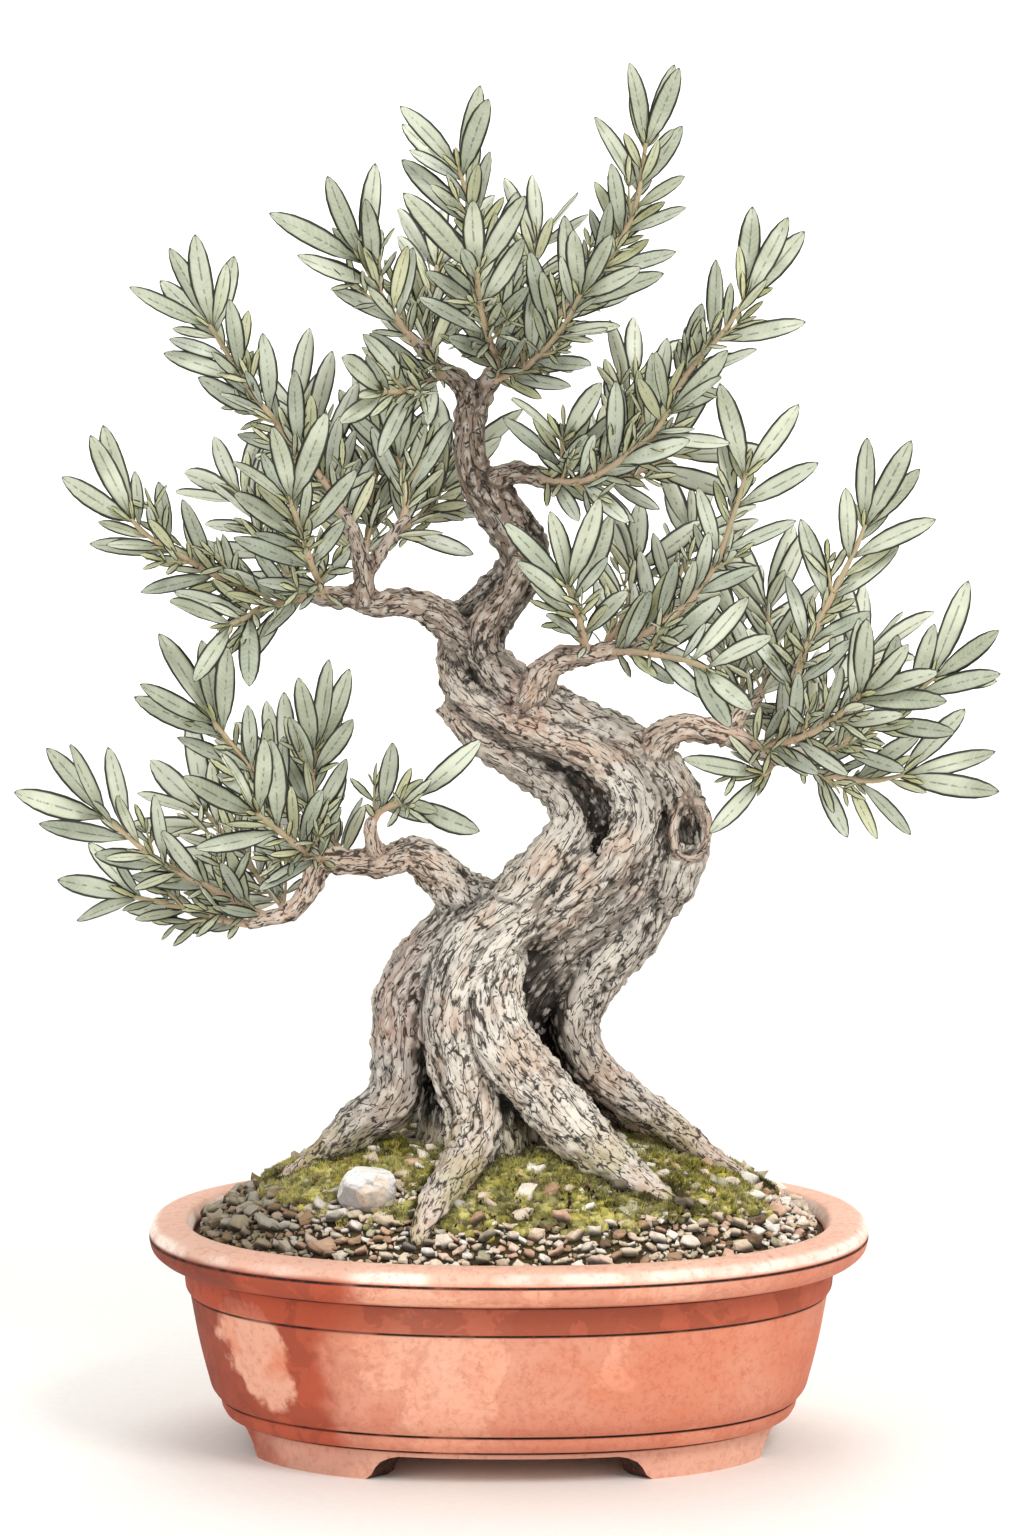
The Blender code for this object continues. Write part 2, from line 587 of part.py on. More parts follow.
def make_moss(name, look, seats):
    """A pad on some cells of the mound: thin at its edge, lumpy and thicker inside."""
    first, last, inner, outer = MOSS_PADS[name]
    rows = range(first, last + 1)
    columns = range(inner, outer + 1)
    kept = [(s, r) for s in rows for r in columns if (s, r) not in ((first, inner), (last, outer))]
    index = {cell: k for k, cell in enumerate(kept)}
    rim = {(s, r) for s, r in kept if s in (first, last) or r in (inner, outer)}
    points, faces = [], []
    for layer in (0, 1):
        for s, r in kept:
            x, y, z = soil_point(r, s)
            lump = MOSS_THICK + 0.8 * math.sin(2.4 * s + 3.1 * r)
            rise = MOSS_EDGE if (s, r) in rim else lump
            points.append((x, y, z + SEAT_GAP + layer * rise))
    count = len(kept)
    outline = {}
    for s in rows[:-1]:
        for r in columns[:-1]:
            near, far = (s, r + 1), (s + 1, r)
            for third in ((s, r), (s + 1, r + 1)):
                if third not in index:
                    continue
                cell = (third, near, far) if third == (s, r) else (near, third, far)
                loop = [index[c] for c in cell]
                faces.append(tuple(loop))
                faces.append(tuple(v + count for v in reversed(loop)))
                for a, b in zip(loop, loop[1:] + loop[:1]):
                    if (b, a) in outline:
                        outline.pop((b, a))
                    else:
                        outline[(a, b)] = True
    for a, b in outline:
        faces.append((b, a, a + count, b + count))
    pad = add_mesh(name, points, faces, look)
    for seat in seats:
        cut(pad, seat)
    apply_modifiers(pad)
    keep_main_body(pad)
    return pad


def make_screen(name, place, look):
    """A drain screen: a square net of crossed bars that lies over a drain hole."""
    low = POT_FLOOR + SEAT_GAP
    pitch = (SCREEN_SIZE - SCREEN_BAR) / SCREEN_HOLES
    lines = []
    for k in range(SCREEN_HOLES + 1):
        start = -SCREEN_SIZE / 2 + k * pitch
        lines += [start, start + SCREEN_BAR]
    count = len(lines)
    points = [(place + x, y, z) for z in (low, low + SCREEN_THICK) for x in lines for y in lines]
    faces = []
    layer = count * count
    for i in range(count - 1):
        for j in range(count - 1):
            if i % 2 and j % 2:
                continue
            cell = [i * count + j, (i + 1) * count + j, (i + 1) * count + j + 1, i * count + j + 1]
            faces.append(tuple(cell))
            faces.append(tuple(v + layer for v in reversed(cell)))
            sides = [((i, j - 1), 0, 1), ((i + 1, j), 1, 2), ((i, j + 1), 2, 3), ((i - 1, j), 3, 0)]
            for (ni, nj), a, b in sides:
                inside = 0 <= ni < count - 1 and 0 <= nj < count - 1
                if not inside or (ni % 2 and nj % 2):
                    faces.append((cell[b], cell[a], cell[a] + layer, cell[b] + layer))
    return add_mesh(name, points, faces, look)


def screen_pocket(place):
    """The room that a drain screen takes up in the soil."""
    half = SCREEN_SIZE / 2 + SEAT_GAP
    corners = [(-half, -half), (half, -half), (half, half), (-half, half)]
    heights = (POT_FLOOR, POT_FLOOR + SCREEN_THICK + 2 * SEAT_GAP)
    return loft("pocket", [[(place + x, y, z) for x, y in corners] for z in heights])


def make_stone(look):
    """A pale rock with blunt corners, sunk a little into the soil."""
    shape = bmesh.new()
    bmesh.ops.create_icosphere(shape, subdivisions=2, radius=0.5)
    draw = random.Random("stone")
    x0, y0 = STONE_PLACE
    z0 = soil_height(x0, y0) + STONE_SIZE[2] * 0.22
    points = []
    for vert in shape.verts:
        bump = 1 + draw.uniform(-0.09, 0.09)
        wide, deep, tall = (c * s * bump for c, s in zip(vert.co, STONE_SIZE))
        tall = min(tall, STONE_SIZE[2] * 0.4 - wide * 0.14)
        points.append((x0 + wide, y0 + deep, z0 + tall))
    faces = [tuple(v.index for v in face.verts) for face in shape.faces]
    shape.free()
    return add_mesh("stone", points, faces, look)


def unit(vector):
    return vector / np.linalg.norm(vector)


def leaf_shape(foot, way, face, length, swell=0.0):
    """Three-cornered sections from foot to tip; swell makes it stouter for the tests."""
    way = unit(way)
    face = unit(face - way * face.dot(way))
    side = np.cross(way, face)
    points = []
    for reach, spread in LEAF_SECTIONS:
        centre = foot + way * (reach * length) - face * (LEAF_ARCH * length * reach ** 2)
        half = 0.5 * length * LEAF_SLIM * spread + swell
        keel = LEAF_KEEL * (0.75 + 0.25 * spread) + swell
        points += [centre - side * half + face * swell, centre + side * half + face * swell]
        points.append(centre - face * keel)
    points.append(foot + way * (length + swell) - face * (LEAF_ARCH * length))
    faces = [(0, 1, 2)]
    for r in range(len(LEAF_SECTIONS) - 1):
        for a, b in ((0, 1), (1, 2), (2, 0)):
            faces.append((3 * r + a, 3 * r + b, 3 * r + 3 + b, 3 * r + 3 + a))
    tip = len(points) - 1
    last = 3 * (len(LEAF_SECTIONS) - 1)
    faces += [(last, last + 1, tip), (last + 1, last + 2, tip), (last + 2, last, tip)]
    return points, faces


def wood_balls():
    """Centres and radii along all the wood, for keeping leaves clear of it."""
    rows = [smooth_path(strand, WOOD_STEP) for strand in WOOD.values()]
    return np.vstack(rows)


def hits_wood(points, balls):
    cloud = np.array(points)[3:]
    away = np.linalg.norm(cloud[:, None, :] - balls[None, :, :3], axis=2)
    return bool(np.any(away < balls[None, :, 3] + WOOD_CLEAR))


def hits_stem(points, stems, own):
    """Whether the blade comes near any stem; its foot may lie against its own."""
    cloud = np.array(points)
    for name, stem in stems.items():
        away = np.linalg.norm(cloud[:, None, :] - stem[None, :, :3], axis=2) - stem[None, :, 3]
        if name == own:
            away = away[3:] + STEM_CLEAR - OWN_STEM_CLEAR
        if np.any(away < STEM_CLEAR):
            return True
    return False


def stem_path(route, step):
    path = smooth_path(route, step)
    share = np.linspace(0, 1, len(path))
    return np.column_stack([path, STEM_BASE + (STEM_END - STEM_BASE) * share])


def shoot_leaves(name, stems, balls, grown):
    """Opposite pairs along one stem and a fan at its end, each clear of all the others."""
    draw = random.Random(name)
    path = smooth_path(SHOOTS[name], 1.0)
    length = len(path) - 1
    depth = path[-1][1] + 12
    outward = np.array([0, -1.0 if depth < 18 else 1.0, 0])
    places = []
    at = FIRST_PAIR + draw.uniform(0, 3)
    while at < length - 5:
        places += [(at, -1, PAIR_ANGLE), (at + 1.5, 1, PAIR_ANGLE)]
        at += PAIR_GAP
    places += [(length - 1, -1, 27), (length - 1.5, 1, 27), (length - 0.5, 1, 4)]
    leaves = []
    for spot, hand, lean in places:
        k = int(min(spot, length - 1))
        centre = path[k] + (path[k + 1] - path[k]) * (min(spot, length) - k)
        along = unit(path[min(k + 2, length)] - path[max(k - 2, 0)])
        side = unit(np.cross(along, outward)) * hand
        for _ in range(TRIES):
            turn = math.radians(draw.uniform(-55, 55))
            tilt = math.radians(lean + draw.uniform(-9, 14))
            out = side * math.cos(turn) + outward * math.sin(turn)
            way = along * math.cos(tilt) + out * math.sin(tilt) + np.array([0, 0, 0.12])
            lean_x, lean_y = draw.uniform(-0.5, 0.5), draw.uniform(-0.3, 0.3)
            face = outward + np.array([lean_x, lean_y, draw.uniform(0, 0.8)])
            size = LEAF_LENGTH * (0.8 + 0.35 * spot / length) * draw.uniform(0.86, 1.16)
            foot = centre + out * 0.5
            free = foot + unit(way) * FOOT_FREE
            stout, faces = leaf_shape(free, way, face, size - FOOT_FREE, LEAF_CLEAR)
            if hits_wood(stout, balls) or hits_stem(stout, stems, name):
                continue
            tree = BVHTree.FromPolygons([tuple(p) for p in stout], faces)
            middle = (stout[0] + stout[-1]) / 2
            near = [blade for place, blade in grown if np.linalg.norm(place - middle) < LEAF_REACH]
            if any(tree.overlap(blade) for blade in near):
                continue
            grown.append((middle, tree))
            leaves.append((foot, way, face, size))
            break
    return leaves


def make_shoot(name, leaves, look, seat):
    """The stem and its leaves, fused, with the stem's foot cut to the wood's skin."""
    points, faces = tube(stem_path(SHOOTS[name], STEM_STEP), STEM_SIDES)
    shoot = add_mesh("shoot_" + name, points, faces, look)
    blades = bpy.data.collections.new(name + "_blades")
    bpy.context.scene.collection.children.link(blades)
    for foot, way, face, size in leaves:
        points, faces = leaf_shape(foot, way, face, size)
        blade = add_mesh("blade", points, faces)
        bpy.context.scene.collection.objects.unlink(blade)
        blades.objects.link(blade)
    join = shoot.modifiers.new("Join", "BOOLEAN")
    join.operation = "UNION"
    join.operand_type = "COLLECTION"
    join.collection = blades
    apply_modifiers(shoot)
    thin_out(shoot)
    cut(shoot, seat)
    apply_modifiers(shoot)
    keep_main_body(shoot)
    remove(*list(blades.objects))
    bpy.data.collections.remove(blades)
    return shoot


def build():
    clear_scene()
    clay = material("Terracotta", CLAY, 0.8)
    bark = material("Olive bark", BARK, 0.9)
    green = material("Olive leaf", LEAF, 0.6)
    earth = material("Soil and gravel", EARTH, 0.95)
    moss = material("Moss", MOSS, 1.0)
    rock = material("Stone", ROCK, 0.85)
    net = material("Drain screen", MESH, 0.6)

    make_pot(clay)
    trunk = make_trunk(bark)
    stone = make_stone(rock)
    screens = [make_screen("drain_screen_left", -DRAIN_PLACE, net),
               make_screen("drain_screen_right", DRAIN_PLACE, net)]
    seats = [swollen(trunk, "soil_seat", SOIL_GAP), swollen(stone, "stone_seat", SEAT_GAP)]
    pockets = [screen_pocket(place) for place in (-DRAIN_PLACE, DRAIN_PLACE)]
    make_soil(earth, seats + pockets)
    for name in MOSS_PADS:
        make_moss(name, moss, seats)
    remove(*pockets, *seats)

    seat = swollen(trunk, "trunk_seat", TRUNK_GAP)
    balls = wood_balls()
    stems = {name: stem_path(route, STEM_TEST_STEP) for name, route in SHOOTS.items()}
    grown = []
    for name in SHOOTS:
        leaves = shoot_leaves(name, stems, balls, grown)
        make_shoot(name, leaves, green, seat)
    remove(seat)


build()
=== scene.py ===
# %% [markdown]
# # An olive bonsai in an oval terracotta pot
# The solids of the pot, the soil and the tree are already modelled. This lesson dresses them:
# fired clay with its mouldings, gravel and moss, cracked bark, and leaves with a midrib and two
# faces. The scene is in metres, with its front at -Y and +Z up; the tables of places and sizes
# below are in millimetres.

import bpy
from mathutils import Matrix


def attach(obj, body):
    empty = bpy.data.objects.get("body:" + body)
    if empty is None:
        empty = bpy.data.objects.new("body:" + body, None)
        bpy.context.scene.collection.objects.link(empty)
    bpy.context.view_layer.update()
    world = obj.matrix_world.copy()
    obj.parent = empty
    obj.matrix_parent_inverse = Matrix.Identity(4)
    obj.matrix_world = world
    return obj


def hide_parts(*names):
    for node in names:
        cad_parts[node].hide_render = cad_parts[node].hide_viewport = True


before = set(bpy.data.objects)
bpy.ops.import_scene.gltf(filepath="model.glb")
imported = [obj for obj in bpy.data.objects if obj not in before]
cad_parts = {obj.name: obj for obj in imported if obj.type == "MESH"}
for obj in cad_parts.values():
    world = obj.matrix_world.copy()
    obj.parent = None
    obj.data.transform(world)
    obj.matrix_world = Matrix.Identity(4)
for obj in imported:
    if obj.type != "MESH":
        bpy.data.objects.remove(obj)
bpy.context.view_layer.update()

# %% Tools and units
import math
import random

import bmesh
import bpy
import numpy as np
from mathutils import Vector, noise as soft_noise
from mathutils.bvhtree import BVHTree

MM = 0.001


def placed(name, data):
    """A new object of some data, in the scene."""
    made = bpy.data.objects.new(name, data)
    bpy.context.scene.collection.objects.link(made)
    return made


def mesh_object(name, points, faces, edges=()):
    """A new object from points in millimetres."""
    mesh = bpy.data.meshes.new(name)
    mesh.from_pydata([tuple(float(c) * MM for c in p) for p in points], edges, faces)
    return placed(name, mesh)


def shade(mesh, smooth=True):
    mesh.polygons.foreach_set("use_smooth", [smooth] * len(mesh.polygons))


def outward(piece):
    """Turn the faces of a closed piece outwards and shade them smooth."""
    shape = bmesh.new()
    shape.from_mesh(piece.data)
    bmesh.ops.recalc_face_normals(shape, faces=shape.faces[:])
    shape.to_mesh(piece.data)
    shape.free()
    shade(piece.data)
    return piece


def bake(piece):
    """Replace a piece's mesh by what its modifiers make of it, and drop them."""
    seen = piece.evaluated_get(bpy.context.evaluated_depsgraph_get())
    mesh = bpy.data.meshes.new_from_object(seen)
    piece.modifiers.clear()
    piece.data = mesh
    return piece


def discard(*things):
    for thing in things:
        bpy.data.objects.remove(thing, do_unlink=True)


def cut_away(piece, *cutters):
    """Take the shapes of the cutters out of a piece, and drop them."""
    for cutter in cutters:
        cut = piece.modifiers.new("Cut", "BOOLEAN")
        cut.operation = "DIFFERENCE"
        cut.object = cutter
    bake(piece)
    discard(*cutters)


def attribute(mesh, name, values, kind="FLOAT", domain="POINT"):
    """Store one number or vector for each point or face of a mesh."""
    layer = mesh.attributes.new(name, kind, domain)
    layer.data.foreach_set("vector" if kind == "FLOAT_VECTOR" else "value", np.asarray(values).ravel())


def point_values(mesh, field):
    """The place or the normal of every point of a mesh."""
    values = np.empty(len(mesh.vertices) * 3)
    mesh.vertices.foreach_get(field, values)
    return values.reshape(-1, 3)


def triangle_count(piece):
    return sum(len(face.vertices) - 2 for face in piece.data.polygons)


def dress(piece, material):
    piece.data.materials.clear()
    piece.data.materials.append(material)


def hand_in(piece, slot, *nodes):
    """Let a finished piece ride with the object, and hide the solids that it stands for."""
    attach(piece, "root")
    if nodes:
        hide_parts(*nodes)
    print(piece.name, triangle_count(piece), "triangles")


# %% [markdown]
# A material or a Geometry Nodes tree is a set of nodes and links. Here each output of a node is
# wrapped as a signal: the signs + - * on it add a math node, and ramp follows it from one value
# to another. So the code that follows reads like the recipe itself.

# %% Signals: the outputs of nodes
def add_node(tree, kind, inputs=None, out=0, **settings):
    """One node, its inputs given by name or number. It gives back the output asked for."""
    made = tree.nodes.new(kind)
    for name, value in settings.items():
        setattr(made, name, value)
    for key, value in (inputs or {}).items():
        fill(made.inputs[key], value)
    return signals(made) if out is None else Signal(made.outputs[out])


def fill(socket, value):
    """Give an input a plain value, or link another node's output to it."""
    if isinstance(value, Signal):
        value.tree.links.new(value.socket, socket)
    else:
        socket.default_value = value


def signals(node):
    """All outputs of a node by their names."""
    return {socket.name: Signal(socket) for socket in node.outputs}


class Signal:
    """What one output of a node carries."""

    def __init__(self, socket):
        self.socket = socket
        self.tree = socket.id_data

    def math(self, operation, *others):
        inputs = dict(enumerate((self, *others)))
        return add_node(self.tree, "ShaderNodeMath", inputs, operation=operation)

    def __add__(self, other):
        return self.math("ADD", other)

    def __sub__(self, other):
        return self.math("SUBTRACT", other)

    def __mul__(self, other):
        return self.math("MULTIPLY", other)

    def ramp(self, low, high, start=0.0, end=1.0):
        """Follow the value smoothly from start, where it is low, to end, where it is high."""
        inputs = {"Value": self, "From Min": low, "From Max": high, "To Min": start, "To Max": end}
        return add_node(self.tree, "ShaderNodeMapRange", inputs, interpolation_type="SMOOTHSTEP")

    def vector(self, operation, *others, out=0, **named):
        inputs = {**dict(enumerate((self, *others))), **named}
        return add_node(self.tree, "ShaderNodeVectorMath", inputs, out, operation=operation)

    def stretched(self, along_z):
        """A coordinate with its Z scaled: less than 1 draws a pattern out along Z."""
        return self.vector("MULTIPLY", (1.0, 1.0, along_z))

    def axis(self, number):
        return add_node(self.tree, "ShaderNodeSeparateXYZ", {0: self}, number)


def most(first, *others):
    """The highest of several signals."""
    for other in others:
        first = first.math("MAXIMUM", other)
    return first


def noise(where, scale, detail=4.0, roughness=0.55, distortion=0.0, out=0):
    """A soft random value from 0 to 1; scale counts its lumps along one unit of the coordinate."""
    inputs = {"Vector": where, "Scale": scale, "Detail": detail, "Roughness": roughness,
              "Distortion": distortion}
    return add_node(where.tree, "ShaderNodeTexNoise", inputs, out)


def cells(where, scale, feature="DISTANCE_TO_EDGE"):
    """Voronoi cells: the distance to their edges, or to their centres."""
    return add_node(where.tree, "ShaderNodeTexVoronoi", {"Vector": where, "Scale": scale}, feature=feature)


def paint(red, green, blue):
    """A colour from its 0 to 255 values, as the linear numbers that shaders take."""
    linear = []
    for part in (red / 255, green / 255, blue / 255):
        linear.append(part / 12.92 if part <= 0.04045 else ((part + 0.055) / 1.055) ** 2.4)
    return (*linear, 1.0)


def blend(mask, first, second):
    """Mix two colours, each given from 0 to 255 or as another mix."""
    inputs = {0: mask}
    for key, value in ((6, first), (7, second)):
        inputs[key] = paint(*value) if isinstance(value, tuple) else value
    return add_node(mask.tree, "ShaderNodeMix", inputs, 2, data_type="RGBA")


# %% Node groups
def open_group(name, kind, inputs):
    """A new node group with named inputs, each with its kind and value."""
    tree = bpy.data.node_groups.new(name, kind)
    for label, (sort, value) in inputs.items():
        socket = tree.interface.new_socket(label, in_out="INPUT", socket_type="NodeSocket" + sort)
        if value is not None:
            socket.default_value = value
    return tree, signals(tree.nodes.new("NodeGroupInput"))


def close_group(tree, sort, **results):
    """Give a node group its outputs."""
    for label in results:
        tree.interface.new_socket(label, in_out="OUTPUT", socket_type="NodeSocket" + sort)
    end = tree.nodes.new("NodeGroupOutput")
    for label, result in results.items():
        fill(end.inputs[label], result)
    return tree


def geometry_group(name, sizes):
    """A Geometry Nodes tree with a mesh in and a named input for each size."""
    return open_group(name, "GeometryNodeTree", {"Geometry": ("Geometry", None), **sizes})


def stored(tree, name, kind="FLOAT"):
    """What a mesh attribute holds, inside Geometry Nodes."""
    return add_node(tree, "GeometryNodeInputNamedAttribute", {"Name": name}, data_type=kind)


def run_tree(piece, tree, **values):
    """Run a tree on a piece: each value goes to the input whose label has the same words."""
    modifier = piece.modifiers.new(tree.name, "NODES")
    modifier.node_group = tree
    for socket in tree.interface.items_tree:
        key = socket.name.lower().replace(" ", "_")
        if socket.item_type == "SOCKET" and socket.in_out == "INPUT" and key in values:
            modifier[socket.identifier] = values[key]
    return bake(piece)


print("helpers ready")

# %% [markdown]
# Two effects come back in several finishes. Watercolour-like washes give clay, stone and leaf
# their uneven colour: a soft noise, and a darker rim where one wash dried over another. Fine
# grain breaks up every surface and also feeds its bump.

# %% Shared effects and the frame of a finish
def make_washes():
    inputs = {"Place": ("Vector", None), "Scale": ("Float", 20.0), "Distortion": ("Float", 1.0)}
    tree, given = open_group("Washes", "ShaderNodeTree", inputs)
    soft = noise(given["Place"], given["Scale"], 3.0, 0.5)
    ragged = noise(given["Place"], given["Scale"] * 1.7, 6.0, 0.6, given["Distortion"])
    edge = (ragged - 0.51).math("ABSOLUTE").ramp(0.0, 0.025, 1.0, 0.0)
    return close_group(tree, "Float", Tone=soft.ramp(0.32, 0.68), Pool=ragged.ramp(0.5, 0.53), Edge=edge)


def make_grain():
    inputs = {"Place": ("Vector", None), "Scale": ("Float", 900.0)}
    tree, given = open_group("Fine grain", "ShaderNodeTree", inputs)
    coarse = noise(given["Place"], given["Scale"] * 0.35, 2.0, 0.5)
    fine = noise(given["Place"], given["Scale"], 3.0, 0.7)
    return close_group(tree, "Float", Grain=fine, Speck=coarse.ramp(0.62, 0.7))


WASHES = make_washes()
GRAIN = make_grain()


class Finish:
    """A material in the making: coats of colour, each laid over the last through a mask."""

    def __init__(self, name, roughness, wash=30.0, fine=1500.0, distortion=1.0):
        self.material = bpy.data.materials.new(name)
        self.material.use_nodes = True
        self.tree = self.material.node_tree
        self.shader = self.tree.nodes["Principled BSDF"].inputs
        self.shader["Roughness"].default_value = roughness
        self.shader["Specular IOR Level"].default_value = 0.3
        self.place = add_node(self.tree, "ShaderNodeTexCoord", out="Object")
        self.wide = self.effect(WASHES, Scale=wash, Distortion=distortion)
        self.fine = self.effect(GRAIN, Scale=fine)

    def effect(self, group, **inputs):
        return add_node(self.tree, "ShaderNodeGroup", {"Place": self.place, **inputs}, None, node_tree=group)

    def read(self, name, out="Fac"):
        """What a mesh attribute holds."""
        return add_node(self.tree, "ShaderNodeAttribute", out=out, attribute_name=name)

    def facing_up(self):
        """1 where the surface faces up, -1 where it faces down."""
        return add_node(self.tree, "ShaderNodeNewGeometry", out="Normal").axis(2)

    def coat(self, *layers):
        """Lay colours over each other, each as strongly as its mask says."""
        for mask, colour in layers:
            self.tone = blend(mask, self.tone, colour)

    def done(self, depth=0.0, strength=0.0, relief=None):
        """Link the colour, and a bump as deep as told, and give back the material."""
        fill(self.shader["Base Color"], self.tone)
        if depth:
            inputs = {"Height": relief or self.fine["Grain"], "Distance": depth, "Strength": strength}
            fill(self.shader["Normal"], add_node(self.tree, "ShaderNodeBump", inputs))
        return self.material


print("effect groups:", WASHES.name, "and", GRAIN.name)

# %% [markdown]
# The camera looks slightly down from the front with a long lens, which is how such a tree is
# drawn: hardly any perspective, the pot's rim seen as a narrow oval. The floor runs on into a
# pale wall. A pale sky and four large soft lamps light it: the key at the right, a weaker one at
# the left, one from above and behind, and one for the wall.

# %% Camera, light and floor
CAMERA_AWAY = 2.4
CAMERA_TILT = math.radians(7.5)
LOOK_AT = (0.0012, 0.0, 0.26544)
WHITE = (1.0, 1.0, 1.0)
# Name, place, size, watts, colour and what the lamp is turned to.
LAMPS = [("Key", (1.5, -2.0, 2.3), 1.2, 50.0, (1.0, 0.98, 0.95), LOOK_AT),
         ("Fill", (-2.1, -1.7, 1.5), 1.8, 20.0, (0.96, 0.98, 1.0), LOOK_AT),
         ("Top", (0.0, 0.9, 2.8), 1.6, 22.0, WHITE, LOOK_AT),
         ("Wall", (0.0, 2.4, 2.6), 2.4, 132.0, WHITE, (0.0, 6.0, 1.2))]
FLOOR_HALF = 6.0
WALL_AWAY = 4.0
WALL_BEND = 2.0
WALL_TOP = 8.0
BEND_STEPS = 16


def make_camera():
    data = bpy.data.cameras.new("Camera")
    data.sensor_fit = "VERTICAL"
    data.sensor_height = 36.0
    data.lens = 145.7
    camera = placed("Camera", data)
    x, y, z = LOOK_AT
    camera.location = (x, y - CAMERA_AWAY * math.cos(CAMERA_TILT), z + CAMERA_AWAY * math.sin(CAMERA_TILT))
    camera.rotation_euler = (math.pi / 2 - CAMERA_TILT, 0, 0)
    bpy.context.scene.camera = camera


def make_lamp(name, place, size, watts, tint, target):
    data = bpy.data.lights.new(name, "AREA")
    data.shape = "DISK"
    data.size = size
    data.energy = watts
    data.color = tint
    lamp = placed(name, data)
    lamp.location = place
    x, y, z = np.array(place) - np.array(target)
    lean = math.acos(z / np.linalg.norm((x, y, z)))
    lamp.rotation_euler = (lean, 0, math.atan2(y, x) + math.pi / 2)


def make_floor():
    """A floor that bends up into a wall far behind the object."""
    outline = [(-FLOOR_HALF, 0.0), (WALL_AWAY, 0.0)]
    for k in range(1, BEND_STEPS + 1):
        turn = math.pi / 2 * k / BEND_STEPS
        outline.append((WALL_AWAY + WALL_BEND * math.sin(turn), WALL_BEND * (1 - math.cos(turn))))
    outline.append((WALL_AWAY + WALL_BEND, WALL_TOP))
    points = [(x / MM, y / MM, z / MM) for y, z in outline for x in (-FLOOR_HALF, FLOOR_HALF)]
    faces = [(k, k + 1, k + 3, k + 2) for k in range(0, len(points) - 2, 2)]
    floor = mesh_object("floor", points, faces)
    shade(floor.data)
    paper = Finish("Pale paper floor", 0.95)
    paper.tone = blend(noise(paper.place, 260.0, 3.0, 0.6), (236, 235, 230), (247, 246, 243))
    dress(floor, paper.done())


def make_sky():
    world = bpy.data.worlds.new("Studio")
    world.use_nodes = True
    back = world.node_tree.nodes["Background"].inputs
    back["Color"].default_value = (1.0, 0.99, 0.97, 1.0)
    back["Strength"].default_value = 0.79
    bpy.context.scene.world = world


make_camera()
for lamp_row in LAMPS:
    make_lamp(*lamp_row)
make_floor()
make_sky()
bpy.context.scene.view_settings.view_transform = "Standard"
print("camera at", tuple(round(c, 3) for c in bpy.context.scene.camera.location))

# %% [markdown]
# The pot is thrown clay: one oval outline swept round by an oval that is a little squarer than
# an ellipse. Its mouldings are what the eye reads, so the outline below has every bead, step and
# thin groove, and each corner is rounded by its own radius. Four feet are left standing when the
# gaps and the hollow between them are cut away.

# %% The pot's oval and outline
POT_NARROWER = 32.5
OVAL_POWER = 2.25
POT_SIDES = 216
FOOT_HALF = 103.5
FOOT_WALL = 10
FOOT_RECESS = 10
FLOOR_TOP = 18
DRAIN_PLACE = 45
DRAIN_RADIUS = 11
DRAIN_SIDES = 48

# Half width, height and corner radius, from the foot up to the lip and down inside.
POT_OUTLINE = [
    (103.5, 0, 0.8), (105, 11.6, 0.5), (104.5, 12.3, 0.3), (105.4, 13, 0.4), (110.4, 13.6, 1.2),
    (112.3, 17, 2.2), (112.4, 19.4, 0.8), (111.9, 20, 0.2), (113.4, 20.6, 0.5), (116.2, 24, 2.4),
    (120.9, 42, 20), (124.2, 61, 2), (123.8, 61.8, 0.3), (125.2, 62.6, 0.5), (126, 64, 1), (126.8, 72.6, 1),
    (126.6, 73.4, 0.3), (128.6, 73.9, 0.5), (134.5, 75, 3), (139.2, 79, 2), (140, 83, 1), (139.6, 83.6, 0.3),
    (139.9, 84.2, 0.5), (138.6, 88.2, 2.4), (134, 89.7, 3), (129, 90, 2), (125, 89.4, 1.4),
    (123.6, 86, 1), (119, 76, 5), (117, 63, 6), (112, 42, 12), (100, 18, 7)]


def oval(half_x, z, sides=POT_SIDES):
    """Points of the pot's oval at one height."""
    turns = np.arange(sides) * math.tau / sides
    across, along = np.cos(turns), np.sin(turns)
    x = half_x * np.sign(across) * np.abs(across) ** (2 / OVAL_POWER)
    y = (half_x - POT_NARROWER) * np.sign(along) * np.abs(along) ** (2 / OVAL_POWER)
    return np.column_stack([x, y, np.full(sides, float(z))])


def oval_reach(x, y, half):
    """1 on the pot's oval of a given half width, less inside it and more outside."""
    return np.abs(x / half) ** OVAL_POWER + np.abs(y / (half - POT_NARROWER)) ** OVAL_POWER


def rounded(corners, steps=4):
    """Replace each inner corner of an outline by a short curve of about its radius."""
    points = np.array([corner[:2] for corner in corners], float)
    result = [points[0]]
    for k in range(1, len(points) - 1):
        before, after = points[k - 1] - points[k], points[k + 1] - points[k]
        reach = min(corners[k][2], np.linalg.norm(before) * 0.48, np.linalg.norm(after) * 0.48)
        start = points[k] + before / np.linalg.norm(before) * reach
        end = points[k] + after / np.linalg.norm(after) * reach
        for t in np.linspace(0, 1, steps + 1):
            result.append((1 - t) ** 2 * start + 2 * t * (1 - t) * points[k] + t * t * end)
    result.append(points[-1])
    return result


def ring_faces(rows, count):
    """The faces of a closed skin over rows of ring points, with a flat cap at each end."""
    faces = []
    for start in range(0, (rows - 1) * count, count):
        for k in range(count):
            n = (k + 1) % count
            faces.append((start + k, start + n, start + count + n, start + count + k))
    return faces + [tuple(range(count))[::-1], tuple(range((rows - 1) * count, rows * count))]


def loft(name, rings):
    """A closed solid through rings of points."""
    return outward(mesh_object(name, np.vstack(rings), ring_faces(len(rings), len(rings[0]))))


outline = rounded(POT_OUTLINE)
print("outline points:", len(outline))

